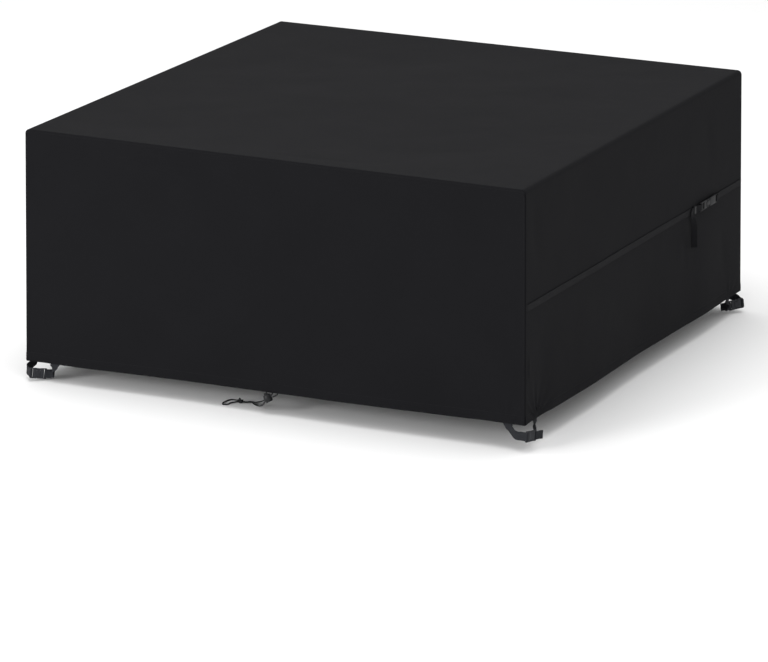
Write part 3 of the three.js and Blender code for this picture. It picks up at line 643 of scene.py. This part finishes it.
def wall_rows(top):
    """Heights up a wall from the hem's lower edge, and how far the face stands out at each."""
    hem = np.array(HEM_SECTION) * MM
    above = stretch((HEM_LOW + hem[-1, 0], NEAR_STEP), (HEM_LOW + NEAR, FACE_STEP), (top, 0))[1:]
    return np.r_[HEM_LOW + hem[:, 0], above], np.r_[hem[:, 1], 0 * above]


def main_section():
    """The panel's section from one hem over the top to the other, as x, z, the outward way and
    how far it stands out; and the run along the cloth."""
    z, out = wall_rows(TOP - FOLD)
    angle = np.linspace(0, math.pi / 2, 9)[1:]
    x = stretch((HALF - FOLD, FACE_STEP), (0, 0))[1:]
    half = np.stack([np.concatenate(parts) for parts in (
        (0 * z + HALF, HALF - FOLD + FOLD * np.cos(angle), x),
        (z, TOP - FOLD + FOLD * np.sin(angle), 0 * x + TOP),
        (0 * z + 1, np.cos(angle), 0 * x), (0 * z, np.sin(angle), 0 * x + 1), (out, 0 * angle, 0 * x),
    )], -1)
    section = np.vstack([half, half[-2::-1] * (-1, 1, -1, 1, 1)])
    return section, runs(section[:, :2])


def seam_columns(section):
    """Places across a panel from one seamed edge to the other, and how deep each lies."""
    edge = np.array(section) * MM
    end = HALF - edge[-1, 0]
    middle = stretch((-end, NEAR_STEP), (NEAR - HALF, FACE_STEP), (HALF - NEAR, NEAR_STEP), (end, 0))
    place = np.r_[edge[:-1, 0] - HALF, middle, HALF - edge[-2::-1, 0]]
    return place, np.r_[edge[:-1, 1], 0 * middle, edge[-2::-1, 1]]


def main_panel():
    section, run = main_section()
    x, z, way_x, way_z, out = (column[:, None] for column in section.T)
    y, sink = seam_columns(ROLLED)
    level = way_z > 0.99
    keep = np.minimum(HALF - np.abs(y), np.maximum(np.where(level, HALF - np.abs(x), TOP - FOLD - z), 0))
    wall = np.where(x > 0, laid("right", y, z, keep), laid("left", y, z, keep))
    dip = np.where(level, laid("top", x, y, keep), wall)
    lift, back = out - sink - dip, -CLOTH - dip - INNER_SINK * sink
    outer = hang(x + way_x * lift, y, z + way_z * lift)
    inner = hang(x + way_x * back, y * (1 - INNER_SINK * sink / HALF), z + way_z * back)
    return cloth_shell(outer, inner, grid(run[:, None], y))


polyester = coated_polyester()
main_cloth = build("main_panel_cloth", [main_panel()], polyester, sharp=60)
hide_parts("main_panel")


# ---- Front and back panels ----
# The same cloth, sewn round three edges. The seam's allowance is turned under the panel and
# stitched down again beside the seam, which leaves a welt with a row of stitches in it.
WELTED = [
    (2.6, 3.4), (1.9, 2.2), (1.45, 1.1), (1.6, 0.3), (2.4, -0.3), (4, -0.55), (6, -0.55), (7, -0.1),
    (8, -0.5), (9.6, -0.35), (12, 0),
]
WELT_STITCH = 7 * MM  # from the corner to the row of stitches
LEVEL_TO = -60 * MM  # the highest level row of the two panels
CLOSING = 48 * MM  # the height over which the rows above it close up


def end_panel(end, face):
    """A wall whose columns stop under the rounded corners of the main panel: the rows up to
    LEVEL_TO are level, and those above it close up on each column's own top."""
    edge = np.array(WELTED) * MM
    x, side_sink = seam_columns(WELTED)
    corner = np.maximum(np.abs(x) - (HALF - FOLD), 0)
    top = TOP - FOLD + np.sqrt(np.maximum((FOLD - 0.4 * MM) ** 2 - corner ** 2, (1.2 * MM) ** 2))
    low, out = wall_rows(LEVEL_TO)
    shares = np.r_[np.linspace(0, 1, 8)[1:-1], 1 - (edge[::-1, 0] - 1.2 * MM) / CLOSING]
    z = np.vstack([grid(*[low] * len(x)), low[-1] + (top - low[-1]) * shares[:, None]])
    out = np.r_[out, 0 * shares][:, None]
    rows_sink = np.r_[np.zeros(len(z) - len(edge)), edge[::-1, 1]][:, None]
    sinks = grid(side_sink, rows_sink)
    sink = np.where(sinks.max(-1) > 0, sinks.max(-1), sinks.min(-1))
    dip = laid(face, x, z, np.minimum(HALF - np.abs(x), top - z))
    outer = hang(x, end * (HALF + out - sink - dip), z)
    inner_x = x * (1 - INNER_SINK * np.maximum(side_sink, 0) / HALF)
    inner_y = end * (HALF - CLOTH - dip - INNER_SINK * np.maximum(sink, 0))
    inner = hang(inner_x, inner_y, z - INNER_SINK * np.maximum(rows_sink, 0))
    return cloth_shell(outer, inner, grid(x, z))


for end, face in ((-1, "front"), (1, "back")):
    wall = build(f"{face}_panel_cloth", [end_panel(end, face)], polyester, sharp=60)
    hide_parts(f"{face}_panel")


# ---- Stitching ----
# Bonded polyester thread: one row down each welt and one along the top of each hem.
STITCH = 3.3 * MM
STITCH_PITCH = 4.6 * MM
THREAD_RADIUS = 0.42 * MM


def bonded_thread():
    """Bonded polyester sewing thread: smooth, slightly waxy, about the cloth's own shade."""
    material = surface("bonded_thread", Roughness=0.6, Specular_IOR_Level=0.2)
    twist = noise(material, 1500, 1)
    tint(material, twist, "#0b0b0d", "#19191b")
    relief(material, (twist, 0.00005))
    return material


def stitch_row(line, out):
    """Stitches at equal steps along a line, each a capsule with its ends drawn in, on cloth that
    faces `out`."""
    run = runs(line)
    middle = np.arange(STITCH_PITCH, run[-1] - STITCH_PITCH / 2, STITCH_PITCH)
    at, ahead = (np.stack([np.interp(place, run, axis) for axis in line.T], -1)
                 for place in (middle, middle + STITCH / 2))
    way = unit(ahead - at)
    side = unit(np.cross(way, out))
    shape = np.array([(-0.5, 0.25, -0.6), (-0.4, 0.8, 0), (0, 1, 0.35), (0.4, 0.8, 0), (0.5, 0.25, -0.6)])
    along, thick, rise = (shape * (STITCH, THREAD_RADIUS, THREAD_RADIUS)).T[..., None]
    local = grid(along, thick * np.cos(angles(6)), rise + thick * np.sin(angles(6)))
    ways = np.stack([way, side, np.cross(side, way)], 1)
    points = (at[:, None, None] + np.einsum("rca,nab->nrcb", local, ways)).reshape(-1, 3)
    caps = [(0, 5, 4, 1), (1, 4, 3, 2), (24, 25, 28, 29), (25, 26, 27, 28)]
    faces = np.vstack([lattice(5, 6, wrap=True), caps]) + np.arange(len(at))[:, None, None] * 30
    return points, outward(points, faces.reshape(-1, 4)), np.zeros((len(points), 2))


def welt_line(end):
    """The row of stitches round an end panel: up one side, over the top and down the other."""
    side = np.linspace(HEM_LOW + 34 * MM, TOP - FOLD, 60)
    angle = np.linspace(0, math.pi / 2, 8)[1:-1]
    turn = FOLD - WELT_STITCH
    turn_x, turn_z = HALF - FOLD + turn * np.cos(angle), TOP - FOLD + turn * np.sin(angle)
    across = np.linspace(HALF - FOLD, -HALF + FOLD, 120)
    reach = 0 * side + HALF - WELT_STITCH
    x = np.r_[reach, turn_x, across, -turn_x[::-1], -reach]
    z = np.r_[side, turn_z, 0 * across + TOP - WELT_STITCH, turn_z[::-1], side[::-1]]
    return hang(x, end * (HALF + 0.2 * MM), z)


def hem_line(face, out):
    """The row of stitches along the top of a hem, creases included."""
    along = np.linspace(-HALF + 12 * MM, HALF - 12 * MM, 400)
    z = 0 * along + HEM_LOW + 28 * MM
    off = HALF + 0.15 * MM - laid(face, along, z, HALF - np.abs(along))
    return hang(*(way * off if way else along for way in out[:2]), z)


FACING = {"front": (0, -1, 0), "back": (0, 1, 0), "left": (-1, 0, 0), "right": (1, 0, 0)}
thread = bonded_thread()
welt_rows = [stitch_row(welt_line(end), (0, end, 0)) for end in (-1, 1)]
build("welt_stitches", welt_rows, thread, sharp=180)
hem_rows = [stitch_row(hem_line(face, out), out) for face, out in FACING.items()]
build("hem_stitches", hem_rows, thread, sharp=180)


# ---- Side strap ----
# Woven polypropylene webbing of 20 mm, its ends sewn into the two seams of the right wall. One
# length carries the socket; the other goes round the prongs' bar, back through the keeper, and
# its free end hangs.
WEBBING = 1.6 * MM
CINCH_WEB = 20 * MM
CINCH_Z = -353 * MM
CINCH_BUCKLE = dict(
    length=134, width=27, web=20, thickness=7, mouth=85, bar=6, socket_slot=6, prong_slot=9, windows=2)
SOCKET_Y = 590  # mm, where the socket's bar lies
BUCKLE_SITS = 7  # mm, the buckle's middle off the cloth
KEEPER_Y = 420
KEEPER_LONG = 14
KEEPER_WALL = 1.6
LAY = 1.4  # mm, the strap's middle off the cloth
KEPT = LAY + KEEPER_WALL + 0.3  # the same inside the keeper
FOLDED = 1.9  # mm, from one layer of the strap to the next
SEAM_END = 812.7  # mm, where the panels' cloth ends at the seams
PRONG_SHARE = 0.72  # the prongs' thickness, as a share of the socket's

# The band's section, as shares of half its width and thickness: flat faces with thin selvedges.
BAND_WIDE = np.array([1, 0.985, 0.95, 0.9, 0.84, 0.5, 0.17])
BAND_THICK = np.array([0, 0.55, 0.8, 0.86, 1, 0.96, 1])


def woven_polypropylene(name, dark, light):
    """Plain-woven polypropylene webbing: ribs of weft every 1.9 mm, across warp yarns every
    1.3 mm; dull, and paler where the ribs are rubbed."""
    material = surface(name, Roughness=0.8, Specular_IOR_Level=0.08, Sheen_Weight=0.01, Sheen_Roughness=0.5)
    ribs, yarns = wave(material, "X", 1.9, 0.5, 1, 3), wave(material, "Y", 1.3, 0.2)
    wear = noise(material, 30, 4, Roughness=0.6)
    tint(material, product(material, product(material, ribs, yarns), wear), dark, light)
    roughen(material, wear, 0.7, 0.9)
    relief(material, (ribs, 0.00025), (yarns, 0.00012))
    return material


def band(stations, width):
    """Webbing swept along stations, each x, y, z and the way that its width points, with its
    section square to the line. Its UVs run in metres along and across it."""
    line = catmull_rom(stations, 2.5 * MM)
    at, across = line[:, None, :3], line[:, None, 3:]
    along = unit(np.gradient(at[:, 0], axis=0))[:, None]
    across = unit(across - along * (across * along).sum(-1, keepdims=True))
    lift = np.cross(along, across)
    wide = np.r_[BAND_WIDE, -BAND_WIDE[::-1], -BAND_WIDE[1:], BAND_WIDE[:0:-1]] * width / 2
    thick = np.r_[BAND_THICK, BAND_THICK[::-1], -BAND_THICK[1:], -BAND_THICK[:0:-1]] * WEBBING / 2
    rings = at + across * wide[:, None] + lift * thick[:, None]
    return tube(rings, around=np.append(wide, wide[0]))


def on_wall(y, off, z=-353, across=(0, 0, 1)):
    """A station `off` out from the right wall, in mm, over the highest of the cloth under the
    strap's edges and its middle."""
    faces = [right_wall(y * MM, (z + edge) * MM, off * MM) for edge in (-9, 0, 9)]
    return np.array([max(face[0] for face in faces), faces[1][1], faces[1][2], *across])


def lying(y):
    """How far off the cloth the strap's middle lies: it dives into the seam at its sewn end."""
    return LAY - 2.2 * smooth(abs(y), 801, SEAM_END)


def round_bar(place, edge, way, reach):
    """Stations through a slot and round its bar: place(run, off) gives one, edge is the bar's
    edge, and way is the side of it that the slot is on."""
    turns = [(0, -reach), (1.5, 0.5 - reach), (2.1, 2.4 - reach)]
    turns += [(run, -off) for run, off in turns[::-1]]
    return [place(edge + way * run, off) for run, off in turns]


def at_buckle(y, off):
    return on_wall(y, BUCKLE_SITS + off)


def far_length():
    """From the back seam to the socket's bar, round it, and back along itself."""
    reach = CINCH_BUCKLE["thickness"] / 2 + LAY
    bar = SOCKET_Y
    return np.array([
        *[on_wall(y, lying(y)) for y in np.linspace(SEAM_END, bar + 24, 34)],
        on_wall(bar + 14, LAY), at_buckle(bar + 3, -reach),
        *round_bar(at_buckle, bar - CINCH_BUCKLE["bar"], -1, reach), at_buckle(bar + 2, reach),
        *[on_wall(bar + run, LAY + FOLDED + off) for run, off in [(14, 1.3), (26, 0.2), (40, 0)]],
    ])


def near_length():
    """From the front seam through the keeper to the prongs' bar, round it, back through the
    keeper, and down as the free end."""
    bar = SOCKET_Y - CINCH_BUCKLE["length"]
    reach = CINCH_BUCKLE["thickness"] * PRONG_SHARE / 2 + LAY
    kept = [KEEPER_Y + run for run in (-KEEPER_LONG / 2 - 4, 0, KEEPER_LONG / 2 + 4)]
    turn, folded = kept[0], KEPT + FOLDED
    free_end = [(20, 4, 18), (42, 8, 40), (70, 9, 52), (95, 9, 56), (112, 9, 58)]

    def down(drop, off, lean):
        lean = math.radians(lean)
        return on_wall(turn - 13, folded + off, -353 - drop, (-math.sin(lean), -math.cos(lean), 0))

    return np.array([
        *[on_wall(y, lying(y)) for y in np.linspace(-SEAM_END, 392, 160)],
        *[on_wall(y, KEPT) for y in kept],
        at_buckle(bar - 2, -reach),
        *round_bar(at_buckle, bar + CINCH_BUCKLE["bar"], 1, reach),
        at_buckle(bar - 1, reach),
        *[on_wall(y, folded) for y in kept[::-1]],
        on_wall(turn - 9, folded, -356.5, (0, -0.38, 0.92)),
        on_wall(turn - 12.6, folded + 1, -363, (0, -0.86, 0.5)),
        *[down(*stop) for stop in free_end],
    ])


webbing = woven_polypropylene("woven_polypropylene", "#121214", "#242427")
for part, stations in (("far", far_length()), ("near", near_length())):
    strap = build(f"side_strap_{part}", [band(stations, CINCH_WEB)], webbing, sharp=60)
    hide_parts(f"cinch_strap_{part}")


# ---- Side strap's buckle ----
# A side-release buckle moulded in acetal. The strap goes over the socket's bar and round the
# prongs' bar; the prongs' arms show in the notches on both sides of the socket's tongue.
BLOCK_SIDES, SOFTNESS = 32, 0.34
BLOCK_END = [(0, 0.72), (0.25, 0.9), (0.6, 0.98), (1, 1)]  # how far in, and how full it is there


def moulded_acetal(name, dark, light):
    """Moulded black acetal: satin, with a fine spark-eroded grain and scuffs that catch light."""
    material = surface(name, IOR=1.48, Roughness=0.5, Specular_IOR_Level=0.15)
    scuffs = noise(material, 180, 5, Roughness=0.7)
    tint(material, scuffs, dark, light)
    roughen(material, scuffs, 0.42, 0.6)
    relief(material, (noise(material, 1800), 0.00004))
    return material


def squared(wave, power):
    """A cosine or sine drawn towards 1 and -1, which squares off a round section."""
    return np.sign(wave) * np.abs(wave) ** power


def block(low, high, wide, thick, middle=0):
    """Rings of a block from low to high along x, its half width, half thickness and middle's y in
    mm. Each is a superellipse, for soft corners, and the end faces are rounded off."""
    soft = min(1.2, (high - low) / 3)
    starts = [(low + soft * run, full) for run, full in BLOCK_END]
    stops = starts + [(high - soft * run, full) for run, full in BLOCK_END[::-1]]
    x, full = np.array(stops).T[..., None]
    turn = angles(BLOCK_SIDES)
    y = middle + (wide - thick * (1 - full)) * squared(np.cos(turn), SOFTNESS)
    return grid(x, y, thick * full * squared(np.sin(turn), SOFTNESS)) * MM


def buckle(length, width, web, thickness, mouth, bar, socket_slot, prong_slot, windows):
    """The two halves as lists of rings, along x from the socket's bar at 0 to the prongs' bar at
    `length`. A slot is the space that a bar, two rails and the body leave between them."""
    half, thick = width / 2, thickness / 2
    tongue = half * 0.56
    slot_half = web / 2 + 0.7
    notch = mouth - 0.2 * length
    rail, rail_y = (half - slot_half) / 2, (half + slot_half) / 2
    body = bar + socket_slot
    socket = [block(0, bar, half, thick * 0.86), block(body, notch, half, thick),
              block(notch - 2, mouth, tongue, thick * 0.93),
              block(body + 2, notch - 2.5, half - 2.6, thick * 1.05)]
    socket += [block(0.5, body + 2, rail, thick * 0.86, side * rail_y) for side in (-1, 1)]
    thick *= PRONG_SHARE
    base = mouth + 0.4
    pitch = bar + prong_slot
    last = length - windows * pitch
    arm, arm_y = (half - 1 - tongue) / 2, (half - 0.2 + tongue) / 2
    prongs = [block(base, last, half, thick)]
    prongs += [block(end - bar, end, half, thick) for end in length - pitch * np.arange(windows)]
    for side in (-1, 1):
        prongs.append(block(last - 2, length - 0.5, rail, thick, side * rail_y))
        prongs.append(block(notch + 0.5, base + 2, arm, thick, side * arm_y))
        prongs += [block(notch + 2 + rib, notch + 3 + rib, arm + 0.15, thick + 0.2, side * arm_y)
                   for rib in np.arange(0, 0.2 * length - 5, 2.2)]
    return socket, prongs


def stood(rings, origin, along, up):
    """The closed solids of several lists of rings, set in place."""
    return [tube(placed(ring, origin, along, up)) for ring in rings]


def beside_strap(y, off):
    """A point at the side strap's height, `off` out from the wall without its creases, from mm."""
    return hang(HALF, y * MM, CINCH_Z) + (off * MM, 0, 0)


acetal = moulded_acetal("moulded_acetal", "#0b0c0e", "#17181a")
buckle_at, buckle_end = (beside_strap(SOCKET_Y - run, BUCKLE_SITS) for run in (0, CINCH_BUCKLE["length"]))
buckle_way = unit((buckle_end - buckle_at) * (1, 1, 0))
for half, rings in zip(("socket", "prongs"), buckle(**CINCH_BUCKLE)):
    shells = stood(rings, buckle_at, buckle_way, UP)
    piece = build(f"side_buckle_{half}", shells, acetal)
    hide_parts(f"cinch_buckle_{half}")


# ---- Keeper ----
# A moulded acetal loop, closed all round, that holds the strap's loose layer down on the other.
def keeper():
    """A rounded rectangle round both layers, whose section is flat and lies along the strap."""
    wall = KEEPER_WALL / 2
    tall, deep = 10 + 0.8 + wall, (2 * 1.6 + 0.9) / 2 + wall
    cos, sin = np.cos(angles(96)), np.sin(angles(96))
    line = np.stack([tall * squared(cos, 0.16), deep * squared(sin, 0.3) + deep - wall, 0 * cos], -1)
    way = closed_way(line)
    flat = KEEPER_LONG / 2 * squared(np.cos(angles(20)), 0.3)[:, None]
    thick = wall * squared(np.sin(angles(20)), 0.7)[:, None]
    return (line[:, None] + np.cross(way, UP)[:, None] * thick + UP * flat) * MM


keeper_off = KEPT - WEBBING / MM / 2 - 0.3
keeper_at, ahead = (beside_strap(KEEPER_Y + run, keeper_off) for run in (0, KEEPER_LONG))
keeper_rings = placed(keeper(), keeper_at, UP, unit(np.cross(ahead - keeper_at, UP)))
keeper_piece = build("keeper", [ring_shell(keeper_rings)], acetal)
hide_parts("cinch_keeper")


# ---- Leg straps and their buckles ----
# At each corner two lengths of 25 mm webbing, sewn inside the hem at a slant, close round a leg
# of the furniture with a small side-release buckle of moulded acetal.
LEG_WEB = 25 * MM
LEG_BUCKLE = dict(
    length=50, width=32, web=25, thickness=7, mouth=30, bar=3.6, socket_slot=4.6, prong_slot=4.6, windows=1)
LEG_INSET = 22 * MM  # a leg's middle, inwards from the hem's corner
LEG_CLEAR = 28  # mm, from the leg's middle to the inside of its strap
LEG_SLOPE = math.radians(7)  # the buckle hangs lower at its prongs' end
FIRST_DROP, BUCKLE_DROP = 27, 30 # mm, from the hem down to the webbing, at the leg and the buckle
TAIL = 26  # mm, free end past the buckle
LEAVES_LEG = 82  # degrees short of the buckle where the webbing leaves the leg
SEWN_INSET = 3.6  # mm, from the cloth's outer face to the webbing's middle
SEWN_DROPS = (-13, -6, 1, 8, 14) # mm, down inside the hem and just out of it
FIXED_SLANT, LOOSE_SLANT = 1.6, 1.4  # drop for each mm along the hem, of the two lengths

# Name, side, end, wall and place of the length with the socket, the same for the other length,
# which way round the leg it runs, where it meets the leg and where the buckle looks, in degrees,
# and the side of the buckle from which the loose length comes. Places are mm from the corner.
LEGS = [
    ("front_left", -1, -1, "left", 54, "front", 99, 1, 190, 310, 1),
    ("front_right", 1, -1, "front", 58, "right", 84, 1, 250, 350, -1),
    ("back_right", 1, 1, "back", 54, "right", 102, -1, 78, -42, 1),
    ("back_left", -1, 1, "back", 54, "left", 102, 1, 102, 222, 1),
]


# The leg straps and their buckles are painted paler than the same webbing and acetal on the wall: painted
# light, which makes up for the shade that falls on them under the cover.
leg_webbing_painted_light = woven_polypropylene("woven_polypropylene_painted_light", "#222326", "#404145")
leg_acetal_painted_light = moulded_acetal("moulded_acetal_painted_light", "#1e1f22", "#36373b")


def heading(angle):
    return np.array((math.cos(math.radians(angle)), math.sin(math.radians(angle)), 0))


def sewn(side, end, wall, place, slant):
    """Stations inside a wall's hem, dropping by `slant` for their run towards the corner."""
    stations = []
    for drop in SEWN_DROPS:
        along, z = HALF - (place - drop / slant) * MM, HEM_LOW - drop * MM
        across = end if wall in ("left", "right") else side
        inset = HALF - SEWN_INSET * MM - laid(wall, across * along, z, 1)
        x, y = (inset, along) if wall in ("left", "right") else (along, inset)
        stations.append((*hang(side * x, end * y, z), *UP))
    return stations


def leg_strap(side, end, wall, place, other_wall, other_place, turn, first, facing, side_from):
    """The stations of both lengths, then the buckle's origin and its two ways."""
    middle = hang(side * HALF, end * HALF, HEM_LOW) - (side * LEG_INSET, end * LEG_INSET, 0)
    out = heading(facing)
    level = np.array((-out[1], out[0], 0)) * turn
    along = level * math.cos(LEG_SLOPE) - UP * math.sin(LEG_SLOPE)
    up = level * math.sin(LEG_SLOPE) + UP * math.cos(LEG_SLOPE)
    length, thick, bar = (LEG_BUCKLE[size] for size in ("length", "thickness", "bar"))
    sit = LEG_CLEAR + 1.6 + thick / 2

    def at(run, off, lift=0, across=up):
        point = out * (sit + off) - level * length / 2 + along * run + UP * (lift - BUCKLE_DROP)
        return np.array((*(middle + point * MM), *across))

    def on_leg(part):
        angle = first + (facing - turn * LEAVES_LEG - first) * part
        point = heading(angle) * (LEG_CLEAR + 0.8) - UP * (FIRST_DROP + (BUCKLE_DROP - FIRST_DROP) * part)
        return np.array((*(middle + point * MM), *(UP + (up - UP) * part)))

    def to_bar(part, beside=0):
        station = on_leg(1) + (at(outside, -reach) - on_leg(1)) * part
        return np.array((*(station[:3] + level * beside * MM), *up))

    reach, outside, slot = thick / 2 + 1.1, -1.3, bar + LEG_BUCKLE["socket_slot"] / 2
    fixed = [
        *sewn(side, end, wall, place, FIXED_SLANT), on_leg(0), on_leg(0.5), on_leg(1), to_bar(0.5), to_bar(1),
        at(outside, reach - 2.6), at(outside + 0.9, reach - 0.5), at(bar / 2, reach + 0.1),
        at(slot - 0.9, reach - 0.5), at(slot, reach - 2.6), at(slot, 0.6 - reach), at(slot - 1.6, -reach - 3),
        to_bar(0.7, FOLDED + 0.6), to_bar(0.35, FOLDED + 0.2),
    ]
    reach = thick * PRONG_SHARE / 2 + 1.1
    loose = [
        *sewn(side, end, other_wall, other_place, LOOSE_SLANT),
        at(length + 16, side_from * (reach + 7), 4, UP), at(length + 5, side_from * (reach + 0.8)),
        *round_bar(lambda run, off: at(run, -side_from * off), length - bar, -1, reach),
        at(length + 5, -side_from * (reach + 0.4)), at(length + TAIL * 0.6, -side_from * (reach + 1)),
        at(length + TAIL, -side_from * (reach + 3)),
    ]
    return np.array(fixed), np.array(loose), at(0, 0)[:3], along, up


for name, *leg in LEGS:
    fixed, loose, *stand = leg_strap(*leg)
    for part, stations in (("fixed", fixed), ("loose", loose)):
        shells = [band(stations, LEG_WEB)]
        strap = build(f"leg_strap_{part}_{name}_webbing", shells, leg_webbing_painted_light, sharp=60)
        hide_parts(f"leg_strap_{part}_{name}")
    for half, rings in zip(("socket", "prongs"), buckle(**LEG_BUCKLE)):
        piece = build(f"leg_{half}_{name}_moulded", stood(rings, *stand), leg_acetal_painted_light)
        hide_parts(f"leg_buckle_{half}_{name}")


# ---- Floor and light ----
# A plain pale studio floor, a large soft light above and a weaker one from the front.
FLOOR_REACH = 40  # m, from the middle to the floor's edges
AIM = Vector((0, 0, -0.4))  # where both lights look

# Name, place, width in metres and power in watts.
LIGHTS = [("overhead", (0.0, -0.5, 6.0), 6.0, 235), ("front", (-4.0, -9.0, 2.0), 4.0, 540)]


def stage():
    """The pale floor just below the lowest piece, two soft lights and a pale world."""
    mesh = bpy.data.meshes.new("floor")
    corners = [(x * FLOOR_REACH, y * FLOOR_REACH) for x, y in ((-1, -1), (1, -1), (1, 1), (-1, 1))]
    mesh.from_pydata([(*corner, cad_box[0][2] - 0.2 * MM) for corner in corners], [], [(0, 1, 2, 3)])
    floor = bpy.data.objects.new("floor", mesh)
    mesh.materials.append(surface(
        "pale_floor", Base_Color=(0.96, 0.96, 0.96, 1), Roughness=0.9, Specular_IOR_Level=0))
    bpy.context.scene.collection.objects.link(floor)
    world = bpy.data.worlds.new("studio")
    world.use_nodes = True
    sky = world.node_tree.nodes["Background"].inputs
    sky["Color"].default_value, sky["Strength"].default_value = (1, 1, 1, 1), 0.8
    bpy.context.scene.world = world
    bpy.context.scene.view_settings.view_transform = "Standard"
    for name, at, size, power in LIGHTS:
        data = bpy.data.lights.new(name, "AREA")
        data.shape, data.size, data.energy = "DISK", size, power
        light = bpy.data.objects.new(name, data)
        light.location = at
        light.rotation_euler = (Vector(at) - AIM).to_track_quat("Z", "Y").to_euler()
        bpy.context.scene.collection.objects.link(light)


stage()
